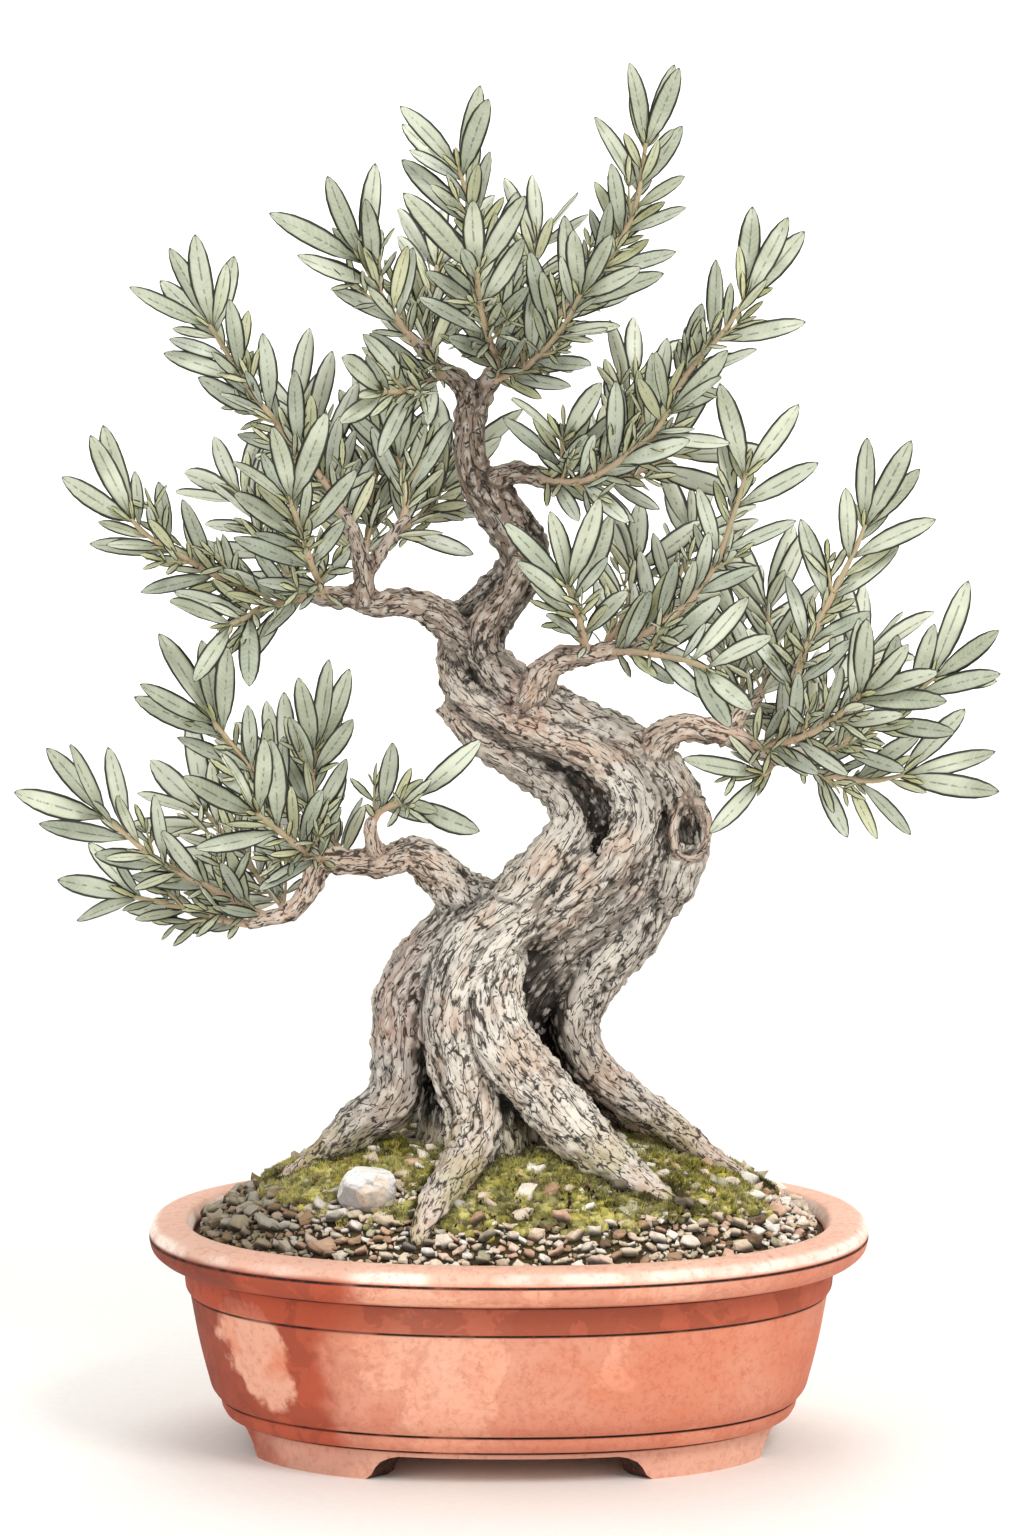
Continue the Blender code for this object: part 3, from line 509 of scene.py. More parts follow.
# %% Cut the feet and the drain holes
# Half widths of a gap between two feet, from the floor up: its ends are cut in a soft bracket.
FRONT_GAP = [(57, -1), (56, 0), (52.5, 2), (51, 5), (49, 7.4), (45.5, 9.2), (42, 10)]
SIDE_GAP = [(31, -1), (30, 0), (27.5, 2), (26.5, 5), (24.5, 7.4), (21.5, 9.2), (18, 10)]
BEHIND = 14
BEYOND = 130
GAP_REACH = (62, 34)
WALL_LEAN = 0.13
SKIN_SHARE = 0.04


def bracket_cutter(name, half_section, inner, outer, across_x):
    """A long cutter that narrows behind the wall, so that the cut faces show from outside."""
    rings = []
    ends = ((-BEYOND, 0), (-outer, 0), (-inner, BEHIND), (inner, BEHIND), (outer, 0), (BEYOND, 0))
    for end, narrower in ends:
        half = [(u - narrower, z) for u, z in half_section]
        section = [(-u, z) for u, z in half] + [(u, z) for u, z in reversed(half)]
        rings.append(np.array([(end, u, z) if across_x else (u, end, z) for u, z in section]))
    return loft(name, rings)


def drain_cutter(place):
    turns = np.arange(DRAIN_SIDES) * math.tau / DRAIN_SIDES
    ring = [place + DRAIN_RADIUS * np.cos(turns), DRAIN_RADIUS * np.sin(turns)]
    heights = (FOOT_RECESS - 2, FLOOR_TOP + 2)
    return loft("drain", [np.column_stack([*ring, np.full(DRAIN_SIDES, z)]) for z in heights])


def cut_face(centre, hollow):
    """Whether a face's centre lies on a cut between two feet, not on the wall's own skin."""
    x, y, z = centre / MM
    walls = (FOOT_HALF + WALL_LEAN * z, hollow)
    bare = any(abs(oval_reach(x, y, half) - 1) < SKIN_SHARE for half in walls)
    in_gap = abs(x) < GAP_REACH[0] or abs(y) < GAP_REACH[1]
    return 0.1 < z < FOOT_RECESS - 0.1 and not bare and in_gap


def make_pot():
    pot = loft("terracotta_pot", [oval(half, z) for half, z in outline])
    hollow = FOOT_HALF - FOOT_WALL
    cut_away(pot, loft("hollow", [oval(hollow, -1), oval(hollow + 1, FOOT_RECESS)]),
             bracket_cutter("front_gap", FRONT_GAP, 51, 64, False),
             bracket_cutter("side_gap", SIDE_GAP, 86, 98, True),
             drain_cutter(-DRAIN_PLACE), drain_cutter(DRAIN_PLACE))
    shade(pot.data)
    pot.data.set_sharp_from_angle(angle=math.radians(38))
    cuts = [float(cut_face(face.center, hollow)) for face in pot.data.polygons]
    attribute(pot.data, "cut", cuts, domain="FACE")
    return pot


pot = make_pot()
print("pot:", triangle_count(pot), "triangles")

# %% [markdown]
# Unglazed clay is matt and never one colour. The drawing lays it down as washes and paints the light
# into them: deep red on the left, part wash and part painted shade, painted shade on the neck under
# the rim, pale orange painted on the rim's top where the light falls, with a painted highlight along
# its front, and a thin line of painted shade in each groove. The lines follow the height, because
# every groove runs level round the pot.

# %% Terracotta
CLAY_WHITE = (255, 240, 228)
CLAY_PALE = (242, 202, 180)
CLAY_LIGHT = (238, 180, 154)
CLAY_MID = (228, 146, 114)
CLAY_DEEP = (176, 78, 52)
CLAY_SHADE = (104, 48, 36)
# Painted shade on the cut faces between the feet and in the grooves.
CUT_FACE_SHADE = (50, 32, 26)
GROOVE_AND_CUT_SHADE = (30, 18, 14)
# Height and half width of each line of painted shade in a groove, in millimetres.
GROOVE_LINES = [(12.3, 0.6), (20.0, 0.6), (61.9, 0.6), (73.5, 0.65), (83.6, 0.6)]
PALE_ISLAND = (-0.096, -0.06, 0.048)
ISLAND_REACH = (0.0125, 0.05, 0.025)
ISLAND_LEAN = 0.5


def line_at(height, level, half):
    """A soft line round the pot at one height, in millimetres."""
    return (height - level * MM).math("ABSOLUTE").ramp(half * 0.4 * MM, half * 1.5 * MM, 1.0, 0.0)


def pale_island(place):
    """A pale patch with a ragged edge, where the flame never reached the clay."""
    off = {"Vector": place.vector("SUBTRACT", PALE_ISLAND), "Angle": ISLAND_LEAN}
    off = add_node(place.tree, "ShaderNodeVectorRotate", off, rotation_type="Y_AXIS")
    away = off.vector("DIVIDE", ISLAND_REACH).vector("LENGTH", out="Value")
    return (away + noise(place, 60.0, 5.0, 0.65) * 1.4).ramp(1.5, 1.75, 1.0, 0.0)


def make_terracotta():
    clay = Finish("Terracotta", 0.82, 9.0, 1100.0, 0.6)
    place, wide, fine = clay.place, clay.wide, clay.fine
    small = clay.effect(WASHES, Scale=30.0, Distortion=0.6)
    height = place.axis(2)
    across = place.axis(0) + (noise(place, 24.0, 5.0) - 0.5) * 0.07
    # Painted shade on the left side, over a deep wash in the clay.
    left = across.ramp(-0.046, -0.068, 0.0, 0.95)
    # Painted shade on the neck under the rim.
    neck = height.ramp(0.0605, 0.0635) * height.ramp(0.0745, 0.0765, 1.0, 0.0)
    # A painted highlight along the rim's front.
    shine = height.ramp(0.0842, 0.0856) * height.ramp(0.0878, 0.0893, 1.0, 0.0)
    shine = shine * noise(place, 26.0, 3.0).ramp(0.36, 0.58)
    streaks = noise(place.stretched(0.3), 900.0, 2.0)
    clay.tone = blend(wide["Tone"], CLAY_LIGHT, CLAY_MID)
    clay.coat((small["Tone"] * 0.3, CLAY_PALE),
              (wide["Pool"] * 0.25, CLAY_DEEP),
              (small["Edge"] * 0.16, CLAY_DEEP),
              # painted shade on the left side, part wash and part shade, darkest at its far edge
              (left, CLAY_DEEP),
              (left * (small["Pool"] * 0.3), CLAY_SHADE),
              (across.ramp(-0.092, -0.124, 0.0, 0.75), CLAY_SHADE),
              (across.ramp(0.085, 0.13, 0.0, 0.45), CLAY_DEEP),
              (pale_island(place) * 0.85, blend(small["Tone"].ramp(0.2, 0.8), CLAY_LIGHT, CLAY_MID)),
              (height.ramp(0.02, 0.036, 0.3, 0.0) * wide["Tone"], CLAY_DEEP),
              # painted shade on the neck under the rim
              (neck * 0.8, CLAY_DEEP),
              (neck * (small["Pool"] * 0.28), CLAY_SHADE),
              (height.ramp(0.011, 0.0135, 0.5, 0.0) * across.ramp(-0.1, -0.08), CLAY_PALE),
              # painted light on the rim's top, and a painted highlight along its front
              (height.ramp(0.0838, 0.0866) * 0.7, CLAY_PALE),
              (shine * 0.85, CLAY_WHITE),
              # painted shade on the cut faces between the feet
              (clay.read("cut") * 0.97, blend(streaks.ramp(0.4, 0.56), CUT_FACE_SHADE, GROOVE_AND_CUT_SHADE)))
    # A thin line of painted shade in each groove.
    for level, half in GROOVE_LINES:
        clay.coat((line_at(height, level, half) * small["Tone"].ramp(0.0, 0.35, 0.6, 1.0), GROOVE_AND_CUT_SHADE))
    clay.coat((noise(place, 320.0, 4.0, 0.7).ramp(0.46, 0.68, 0.0, 0.26), CLAY_DEEP),
              (fine["Speck"] * 0.22, CLAY_DEEP))
    fill(clay.shader["Roughness"], fine["Grain"].math("MULTIPLY_ADD", 0.2, 0.68))
    return clay.done(0.0004, 0.35)


dress(pot, make_terracotta())
hand_in(pot, "terracotta", "pot")

# %% [markdown]
# An old olive trunk isn't one round stem. It is a bundle of strands, each fed by its own root,
# that have grown into each other and twist round the hollow between them. So the trunk is built
# the same way: every root, ridge and branch is a line of points with a radius, each becomes a
# tube, and a voxel remesh grows the tubes together. The strands are those of the solids, and one
# thin root more, too fine for solids, that closes the gap under the right root.

# %% The strands of the trunk: x, y, z and radius in millimetres
WOOD = {
    "core": [(-6, 2, 80, 27), (-7, 2, 105, 31), (-8, 2, 123, 28), (-9, 4, 142, 24), (-9, 6, 162, 23),
             (-3, 6, 183, 25), (12, 3, 204, 25), (31, -2, 222, 25), (44, -5, 237, 24),
             (45, -5, 254, 21), (35, -2, 267, 19), (16, 4, 280, 17), (-3, 8, 291, 15),
             (-14, 9, 306, 13), (-12, 6, 320, 12), (-1, 0, 334, 10), (6, -5, 346, 9.4),
             (2, -8, 358, 9.4), (-7, -6, 370, 8.6), (-14, -3, 382, 6.6), (-15, 0, 396, 6),
             (-14, 0, 410, 5.8)],
    "left_root": [(-3, -8, 215, 12), (-25, -10, 198, 13), (-39, -10, 179, 12.5), (-41, -10, 158, 11.5),
                  (-44, -11, 139, 10.5), (-59, -12, 127, 8.5), (-76, -9, 111, 6),
                  (-92, -5, 100, 4), (-104, -2, 92, 2)],
    "front_root": [(29, -20, 229, 11), (4, -21, 212, 12.5), (-14, -22, 194, 13.5), (-21, -22, 173, 13),
                   (-18, -24, 152, 12.5), (-13, -30, 135, 11), (-16, -41, 121, 9.5),
                   (-24, -57, 111, 8), (-31, -68, 102, 5.5), (-35, -76, 93, 2.7)],
    "diagonal_root": [(-3, -20, 200, 11), (-7, -26, 180, 12), (-2, -29, 162, 12.5), (12, -32, 145, 12),
                      (29, -38, 127, 11), (46, -44, 114, 8), (60, -48, 104, 5), (71, -50, 96, 2.7)],
    "right_root": [(58, -6, 227, 12), (48, -4, 205, 12.5), (34, -2, 187, 12), (26, -3, 167, 9.6),
                   (31, -5, 151, 8.8), (45, -7, 138, 8.2), (62, -6, 126, 6.8), (79, -2, 112, 5),
                   (95, 2, 101, 3.4), (107, 4, 93, 2)],
    "inner_strand": [(24, 10, 196, 15), (13, 13, 170, 13), (12, 14, 148, 13), (18, 12, 120, 14),
                     (22, 10, 100, 10)],
    "front_foot": [(-8, -12, 150, 12), (-6, -20, 130, 13), (-4, -24, 108, 14)],
    "back_left_root": [(12, 22, 210, 12), (-22, 25, 178, 13), (-31, 28, 148, 12.5), (-39, 40, 122, 10),
                       (-54, 55, 103, 7), (-64, 62, 91, 3)],
    "back_right_root": [(34, 12, 222, 13), (22, 24, 180, 13), (16, 28, 147, 12.5), (28, 42, 121, 10),
                        (48, 55, 104, 7), (65, 61, 92, 3)],
    "back_root": [(-4, 24, 190, 12), (-4, 28, 162, 12), (-8, 36, 132, 11), (-11, 51, 113, 8),
                  (-15, 67, 101, 5), (-17, 76, 92, 2.5)],
    "outer_ridge": [(57, -5, 214, 9), (63, -12, 227, 11), (66, -14, 245, 11), (59, -15, 264, 10),
                    (43, -15, 278, 9.4), (23, -14, 287, 8.6), (4, -12, 296, 7.8), (-9, -9, 310, 7),
                    (-9, -10, 323, 6.2), (1, -14, 336, 5), (6, -17, 348, 4.6)],
    "middle_ridge": [(6, -13, 202, 9), (16, -23, 213, 10.5), (36, -26, 232, 11), (48, -27, 249, 9.6),
                     (45, -25, 262, 8.8), (31, -21, 274, 8), (14, -15, 280, 8), (-3, -9, 287, 8),
                     (-18, -3, 297, 7.4), (-22, 2, 309, 6.6)],
    "under_ridge": [(-6, -11, 204, 9), (2, -21, 215, 10), (16, -24, 232, 10.2), (25, -20, 247, 8.8),
                    (19, -13, 259, 8), (4, -7, 269, 8), (-12, -3, 279, 7), (-23, 2, 291, 6)],
    "back_ridge": [(30, 24, 214, 12), (52, 16, 232, 11), (58, 12, 250, 10), (48, 15, 266, 9),
                   (26, 19, 282, 8), (4, 22, 296, 7), (-10, 21, 312, 6), (-8, 15, 328, 5)],
    "lower_left_branch": [(-3, -5, 211, 11), (-18, -10, 217, 10), (-27, -14, 227, 8.4),
                          (-37, -16, 234, 6.8), (-48, -16, 231, 5.6), (-61, -15, 231, 5.1),
                          (-72, -14, 231, 4.6), (-77, -12, 220, 4.2), (-84, -12, 211, 3.8),
                          (-93, -14, 209, 3.1), (-101, -16, 207, 2.2)],
    "lower_left_fork": [(-72, -14, 231, 4.3), (-78, -16, 242, 3.5), (-82, -17, 250, 2.4)],
    "lower_left_spur": [(-50, -16, 231, 4), (-53, -20, 243, 3), (-52, -22, 250, 2.2)],
    "upper_left_branch": [(-8, 0, 306, 8.6), (-20, -8, 319, 7.4), (-30, -12, 328, 6.2),
                          (-41, -14, 331, 5.5), (-51, -14, 330, 5.1), (-61, -12, 333, 4.4),
                          (-70, -12, 333, 3.9), (-80, -12, 335, 3.1), (-90, -12, 334, 2.2)],
    "upper_left_fork": [(-55, -14, 332, 4.7), (-56, -16, 345, 3.9), (-60, -20, 360, 2.9),
                        (-64, -22, 369, 2.2)],
    "upper_left_spur": [(-56, -15, 340, 3.6), (-46, -9, 355, 2.6), (-39, -6, 364, 2)],
    "crown_left_branch": [(-14, 0, 406, 5.6), (-18, 0, 414, 4.5), (-25, -2, 419, 3.6),
                          (-31, -4, 425, 3), (-36, -6, 431, 2.2)],
    "crown_right_branch": [(-14, 0, 404, 5.6), (-9, 0, 413, 4.6), (-4, 0, 419, 4), (0, -2, 426, 3.4),
                           (0, -3, 432, 2.6)],
    "upper_right_branch": [(-10, -4, 368, 6.4), (-4, -8, 378, 5), (4, -8, 380, 4.1), (13, -8, 378, 3.7),
                           (21, -8, 375, 3.4), (30, -8, 378, 3), (37, -8, 382, 2.3)],
    "middle_right_branch": [(0, -6, 284, 9), (10, -15, 297, 7.4), (15, -20, 307, 5.6),
                            (23, -20, 311, 4.4), (33, -20, 312, 4), (41, -20, 314, 3.5),
                            (50, -20, 318, 2.4)],
    "lower_right_branch": [(46, -8, 254, 10), (54, -17, 272, 7.6), (60, -21, 281, 6),
                           (69, -22, 284, 5), (78, -22, 282, 4.6), (86, -22, 280, 4.3),
                           (96, -22, 275, 3.8), (106, -22, 272, 3.4), (116, -22, 273, 2.3)],
    "lower_right_fork": [(83, -22, 280, 4), (89, -18, 289, 3.1), (97, -13, 295, 2.2)],
    "lower_right_spur": [(104, -22, 273, 3.6), (106, -25, 284, 2.9), (108, -27, 292, 2.2)],
    "knot_lip": [(67, -22, 257, 2.6), (74, -19, 252, 2.6), (76, -18, 243, 2.6), (72, -21, 235, 2.6),
                 (65, -24, 236, 2.6), (63, -25, 247, 2.6), (67, -22, 257, 2.6)],
    # One thin root more than in the solids, too fine for them, closes the gap under the right one.
    "thin_root": [(27, 4, 158, 5), (33, 9, 146, 6), (40, 12, 134, 6.5), (48, 13, 124, 6),
                  (57, 12, 115, 4)],
}

# What age has hollowed out of the wood, given like the strands.
HOLLOWS = {
    "knot_hole": [(69, -27, 251, 4), (70, -26, 246, 5), (69, -27, 239, 4)],
    "groove": [(10, -19, 269, 2.5), (22, -23, 265, 4), (31, -26, 257, 5), (36, -30, 245, 4.5),
               (34, -33, 235, 3)],
}
STRAND_STEP = 4
STRAND_SIDES = 16
TRUNK_VOXEL = 1.3
HOLLOW_VOXEL = 1.0
print("strands:", len(WOOD), "hollows:", len(HOLLOWS))


# %% Curves and tubes
def smooth_path(points, step):
    """A Catmull-Rom curve through the points, with a sample about every step."""
    knots = np.array(points, float)
    ends = np.vstack([2 * knots[0] - knots[1], knots, 2 * knots[-1] - knots[-2]])
    samples = []
    for i in range(len(knots) - 1):
        a, b, c, d = ends[i:i + 4]
        count = max(1, round(float(np.linalg.norm((c - b)[:3])) / step))
        for k in range(count):
            t = k / count
            bend = (2 * a - 5 * b + 4 * c - d) * t * t + (3 * b - a - 3 * c + d) * t ** 3
            samples.append(0.5 * (2 * b + (c - a) * t + bend))
    samples.append(knots[-1])
    return np.array(samples)


def frames_along(centres, lead):
    """The direction of a path at each sample, and two directions square to it that don't twist."""
    ways = np.gradient(centres, axis=0)
    ways /= np.linalg.norm(ways, axis=1)[:, None]
    leads, acrosses = [], []
    for way in ways:
        lead = lead - way * lead.dot(way)
        lead = lead / np.linalg.norm(lead)
        leads.append(lead)
        acrosses.append(np.cross(way, lead))
    return ways, np.array(leads), np.array(acrosses)


def tube(path, sides):
    """Ring points of a tube along rows of x, y, z and radius."""
    centres = path[:, :3]
    start = centres[1] - centres[0]
    lead = np.array([1.0, 0, 0] if abs(start[0]) < 0.8 * np.linalg.norm(start) else [0, 1.0, 0])
    _, leads, acrosses = frames_along(centres, lead)
    turns = (np.arange(sides) + 0.5) * math.tau / sides
    round_ = np.cos(turns)[None, :, None] * leads[:, None] + np.sin(turns)[None, :, None] * acrosses[:, None]
    return (centres[:, None] + path[:, 3][:, None, None] * round_).reshape(-1, 3)


def grown_together(name, strands, voxel, rounds):
    """Tubes along the strands, made into one skin by a voxel remesh and relaxed."""
    points, faces, count = [], [], 0
    for strand in strands.values():
        path = smooth_path(strand, STRAND_STEP)
        faces += [tuple(v + count for v in face) for face in ring_faces(len(path), STRAND_SIDES)]
        points.append(tube(path, STRAND_SIDES))
        count += len(points[-1])
    made = outward(mesh_object(name, np.vstack(points), faces))
    grow = made.modifiers.new("Grow together", "REMESH")
    grow.mode = "VOXEL"
    grow.voxel_size = voxel * MM
    relax = made.modifiers.new("Relax", "SMOOTH")
    relax.factor = 0.5
    relax.iterations = rounds
    return bake(made)


trunk = grown_together("olive_trunk", WOOD, TRUNK_VOXEL, 5)
cut_away(trunk, grown_together("hollows", HOLLOWS, HOLLOW_VOXEL, 2))
print("bare trunk:", triangle_count(trunk), "triangles")

# %% [markdown]
# Bark cracks along the wood, not across the page, so its pattern needs a coordinate that follows
# each strand. For every point of the skin the nearest strand is found; how far the point lies
# along it and beside it gives the three numbers of that coordinate. It is stored with the mesh,
# together with how thick the strand is there and how pale its wood is, with painted shade on the
# inner strand deep in the hollow.

# %% A coordinate that follows the grain
GRAIN_STRETCH = 3.2
STRAND_OFFSET = 37.0
# How pale each strand's wood is. The inner strand lies deep in the hollow, and its value below zero is
# painted shade.
STRAND_PALENESS_AND_SHADE = {"diagonal_root": 1.0, "front_root": 0.8, "under_ridge": 0.55, "left_root": 0.3,
                "middle_ridge": 0.6, "outer_ridge": 0.6, "right_root": 0.55, "inner_strand": -0.6,
                "core": 0.1, "back_ridge": 0.3}
USUAL_PALENESS = 0.5
BLEND_REACH = 2.0


def outside(points, path):
    """How far each point lies outside each ball of a path, in rows of x, y, z and radius."""
    return np.linalg.norm(points[:, None] - path[None, :, :3], axis=2) - path[None, :, 3]


def follow_strands(points):
    """The grain coordinate, girth, and paleness with painted shade at each point, all in millimetres."""
    count = len(points)
    nearest = np.full(count, np.inf)
    along_grain = np.zeros((count, 3))
    girth = np.zeros(count)
    pale_sum = np.zeros(count)
    weight_sum = np.full(count, 1e-9)
    for number, (name, strand) in enumerate(WOOD.items()):
        path = smooth_path(strand, STRAND_STEP)
        centres, radii = path[:, :3], path[:, 3]
        ways, leads, acrosses = frames_along(centres, np.array([0, -1.0, 0.05]))
        travelled = np.concatenate([[0], np.cumsum(np.linalg.norm(np.diff(centres, axis=0), axis=1))])
        away = outside(points, path)
        at = away.argmin(axis=1)
        distance = away[np.arange(count), at]
        offset = points - centres[at]
        beside = (offset * leads[at]).sum(1), (offset * acrosses[at]).sum(1)
        reached = travelled[at] + (offset * ways[at]).sum(1)
        own = np.column_stack([*beside, reached / GRAIN_STRETCH + STRAND_OFFSET * number])
        closer = distance < nearest
        nearest[closer] = distance[closer]
        along_grain[closer] = own[closer]
        girth[closer] = radii[at][closer]
        weight = np.exp(-np.clip(distance, -8, 30) / BLEND_REACH)
        pale_sum += weight * STRAND_PALENESS_AND_SHADE.get(name, USUAL_PALENESS)
        weight_sum += weight
    return along_grain, girth, pale_sum / weight_sum


skin = point_values(trunk.data, "co") / MM
grain_place, girth, paleness_and_shade = follow_strands(skin)
print("girth from", round(girth.min(), 1), "to", round(girth.max(), 1), "mm")

# %% [markdown]
# Painted shade darkens every cleft. Three measures find them: how far the skin sinks below a smoothed
# copy of itself, how many short rays from a point meet the wood again, and how near the point is
# to the old hollows.

# %% Hollows, creases and shade in the skin
GOLDEN_TURN = math.radians(137.5)
# How much painted shade each old hollow takes.
HOLLOW_SHADE = {"knot_hole": 0.9, "groove": 0.38}
# A line down the deep cleft beside the right root, where hardly any light comes.
GLOOM = [(8, -20, 200), (10, -17, 188), (12, -13, 180), (13, -9, 173), (15, -4, 166), (18, -2, 158),
         (22, 0, 149), (28, 1, 140), (36, 2, 131)]
GLOOM_DEPTH = 0.9
GLOOM_REACH = 11.5
RAY_WAYS = 26
RAY_REACH = 34
RAY_START = 0.5
RAY_FACING = 0.15
# The more often the skin is smoothed, the wider the hollows that it shows.
CLEFT_ROUNDS = 90
CREASE_ROUNDS = 22
HOLLOW_ROUNDS = 6


def softened(mesh, values, rounds):
    """Rows of values, averaged a few times with those of the neighbouring points."""
    edges = np.empty(len(mesh.edges) * 2, int)
    mesh.edges.foreach_get("vertices", edges)
    a, b = edges.reshape(-1, 2).T
    degree = np.maximum(np.bincount(edges, minlength=len(values)), 1).astype(float)[:, None]
    for _ in range(rounds):
        sums = [np.bincount(a, row[b], len(row)) + np.bincount(b, row[a], len(row)) for row in values.T]
        values = 0.5 * values + 0.5 * (np.column_stack(sums) / degree)
    return values


def sunken(mesh, rounds):
    """How far each point lies below the same skin smoothed over, in millimetres."""
    points = point_values(mesh, "co") / MM
    return ((softened(mesh, points, rounds) - points) * point_values(mesh, "normal")).sum(1)


def enclosed(piece, places):
    """The share of short rays from each point that meet the piece again."""
    shape = bmesh.new()
    shape.from_mesh(piece.data)
    wood = BVHTree.FromBMesh(shape)
    normals = np.array([vert.normal[:] for vert in shape.verts])
    shape.free()
    turns = np.arange(RAY_WAYS) * GOLDEN_TURN
    rises = 1 - (2 * np.arange(RAY_WAYS) + 1) / RAY_WAYS
    flats = np.sqrt(1 - rises ** 2)
    ways = np.column_stack([flats * np.cos(turns), flats * np.sin(turns), rises])
    facing = normals @ ways.T
    starts = (places + normals * RAY_START) * MM
    ways = [Vector(way) for way in ways]
    share = np.zeros(len(places))
    for number, start in enumerate(starts):
        start = Vector(start)
        met = total = 0.0
        for k in np.nonzero(facing[number] > RAY_FACING)[0]:
            total += 1
            distance = wood.ray_cast(start, ways[k], RAY_REACH * MM)[3]
            if distance is not None:
                met += 1 - distance / (RAY_REACH * MM)
        share[number] = met / max(total, 1.0)
    return share


def find_hollow_shade(points):
    """How much painted shade lies in the old hollows and the deep cleft at each point."""
    found = np.zeros(len(points))
    for name, hollow in HOLLOWS.items():
        away = outside(points, smooth_path(hollow, 1.0)).min(axis=1)
        found = np.maximum(found, HOLLOW_SHADE[name] * np.clip(1.3 - np.abs(away) / 0.9, 0, 1))
    away = np.linalg.norm(points[:, None] - smooth_path(GLOOM, 1.0)[None], axis=2).min(axis=1)
    return np.maximum(found, GLOOM_DEPTH * np.clip((GLOOM_REACH - away) / 6, 0, 1))


depth = softened(trunk.data, enclosed(trunk, skin)[:, None], 3)[:, 0]
skin_values = {"depth": depth, "hollow_shade": find_hollow_shade(skin), "girth": girth, "paleness_and_shade": paleness_and_shade,
               "cleft": sunken(trunk.data, CLEFT_ROUNDS), "crease": sunken(trunk.data, CREASE_ROUNDS)}
for label, values in skin_values.items():
    attribute(trunk.data, label, values)
attribute(trunk.data, "grain_place", grain_place, "FLOAT_VECTOR")
print("depth of the clefts:", [round(float(part), 2) for part in np.percentile(depth, (50, 80, 95, 99))])

# %% [markdown]
# The relief comes from a small Geometry Nodes tree. It reads the grain coordinate and moves each
# point in or out along its normal: long ridges like sinews, soft lumps, knobs on the thin
# branches, and the cracks between plates of bark. The crack is also stored, for the colour.

# %% Bark relief in Geometry Nodes
def make_relief_tree():
    sizes = {"Plate size": ("Float", 4.6), "Plate depth": ("Float", 0.8), "Ridge depth": ("Float", 1.7),
             "Lump depth": ("Float", 1.3), "Knob height": ("Float", 1.4)}
    tree, size = geometry_group("Bark relief", sizes)
    place, thick = stored(tree, "grain_place", "FLOAT_VECTOR"), stored(tree, "girth")
    count = add_node(tree, "ShaderNodeMath", {0: 1.0, 1: size["Plate size"]}, operation="DIVIDE")
    wander = noise(place, 0.35, 2.0, 0.5, out="Color")
    crack = cells(place.vector("SCALE", Scale=count).vector("ADD", wander), 1.0).ramp(0.02, 0.2, 1.0, 0.0)
    crack = crack * noise(place, 0.11, 2.0).ramp(0.4, 0.62).math("MULTIPLY_ADD", 0.75, 0.25)
    ridge = (noise(place.stretched(0.3), 0.16, 3.0, 0.6) - 0.5) * 2.0
    lump = (noise(place, 0.055, 2.0, 0.5) - 0.5) * 2.0
    knob = cells(place.stretched(2.2), 0.24, "F1").ramp(0.05, 0.62, 1.0, 0.0)
    knob = knob * thick.ramp(2.2, 5.0, 0.45, 1.0)
    height = ridge * size["Ridge depth"] + lump * size["Lump depth"] - crack * size["Plate depth"]
    height = height * thick.ramp(2.0, 13.0, 0.3, 1.0) + knob * size["Knob height"]
    offset = add_node(tree, "GeometryNodeInputNormal").vector("SCALE", Scale=height * MM)
    moved = add_node(tree, "GeometryNodeSetPosition", {"Geometry": size["Geometry"], "Offset": offset})
    kept = {"Geometry": moved, "Name": "crack", "Value": crack}
    kept = add_node(tree, "GeometryNodeStoreNamedAttribute", kept, data_type="FLOAT")
    return close_group(tree, "Geometry", Geometry=kept)


run_tree(trunk, make_relief_tree(), plate_size=4.6, plate_depth=0.8)
attribute(trunk.data, "hollow", sunken(trunk.data, HOLLOW_ROUNDS))
shade(trunk.data)
print("bark relief on", len(trunk.data.vertices), "points")

# %% [markdown]
# Olive bark is pale grey with a cream bloom where it is weathered, and dark in every crack, so
# the drawing needs very little colour: cream, warm grey and a brown that is almost black. The same
# near-black brown is painted shade in the clefts and hollows, a darker grey is painted shade on
# the undersides, and cream on the raised bark is a painted highlight. Thin young branches are
# pinkish. Fine broken cracks, too small for the mesh, are drawn by a second layer of cells in the
# same grain coordinate, and a little moss creeps up the roots.

# %% Olive bark
BARK_CREAM = (226, 219, 208)
BARK_GREY = (178, 168, 157)
BARK_DARK = (98, 86, 75)
BARK_TAN = (184, 148, 122)
BARK_COOL = (160, 155, 152)
BARK_ROSE = (196, 150, 132)
BARK_YOUNG = (216, 186, 166)
# Near black: the bark's own cracks, and painted shade in the clefts and hollows.
BARK_CRACKS_AND_SHADE = (22, 17, 13)
ROOT_MOSS = (164, 154, 78)


def bark_ink(where, girth, crack):
    """Fine dark lines in the bark: plates, scales, ticks and nicks."""
    bent = noise(where, 0.22, 2.0, 0.5, out="Color").vector("SCALE", Scale=5.0)
    curled = where.vector("ADD", bent)
    broken = noise(where, 0.5, 2.0).ramp(0.44, 0.5)
    plates = cells(curled, 0.2).ramp(0.014, 0.052, 1.0, 0.0) * broken
    scales = cells(curled.stretched(0.8), 0.42).ramp(0.012, 0.055, 1.0, 0.0)
    scales = scales * noise(where, 0.7, 2.0).ramp(0.49, 0.54)
    ticks = noise(where.stretched(0.5), 0.95, 2.0).ramp(0.645, 0.69)
    nicks = noise(where.stretched(0.8), 1.0, 1.0).ramp(0.61, 0.66) * girth.ramp(6.0, 10.0, 0.9, 0.0)
    return most(plates, scales, ticks, nicks, crack.ramp(0.55, 0.95) * broken)


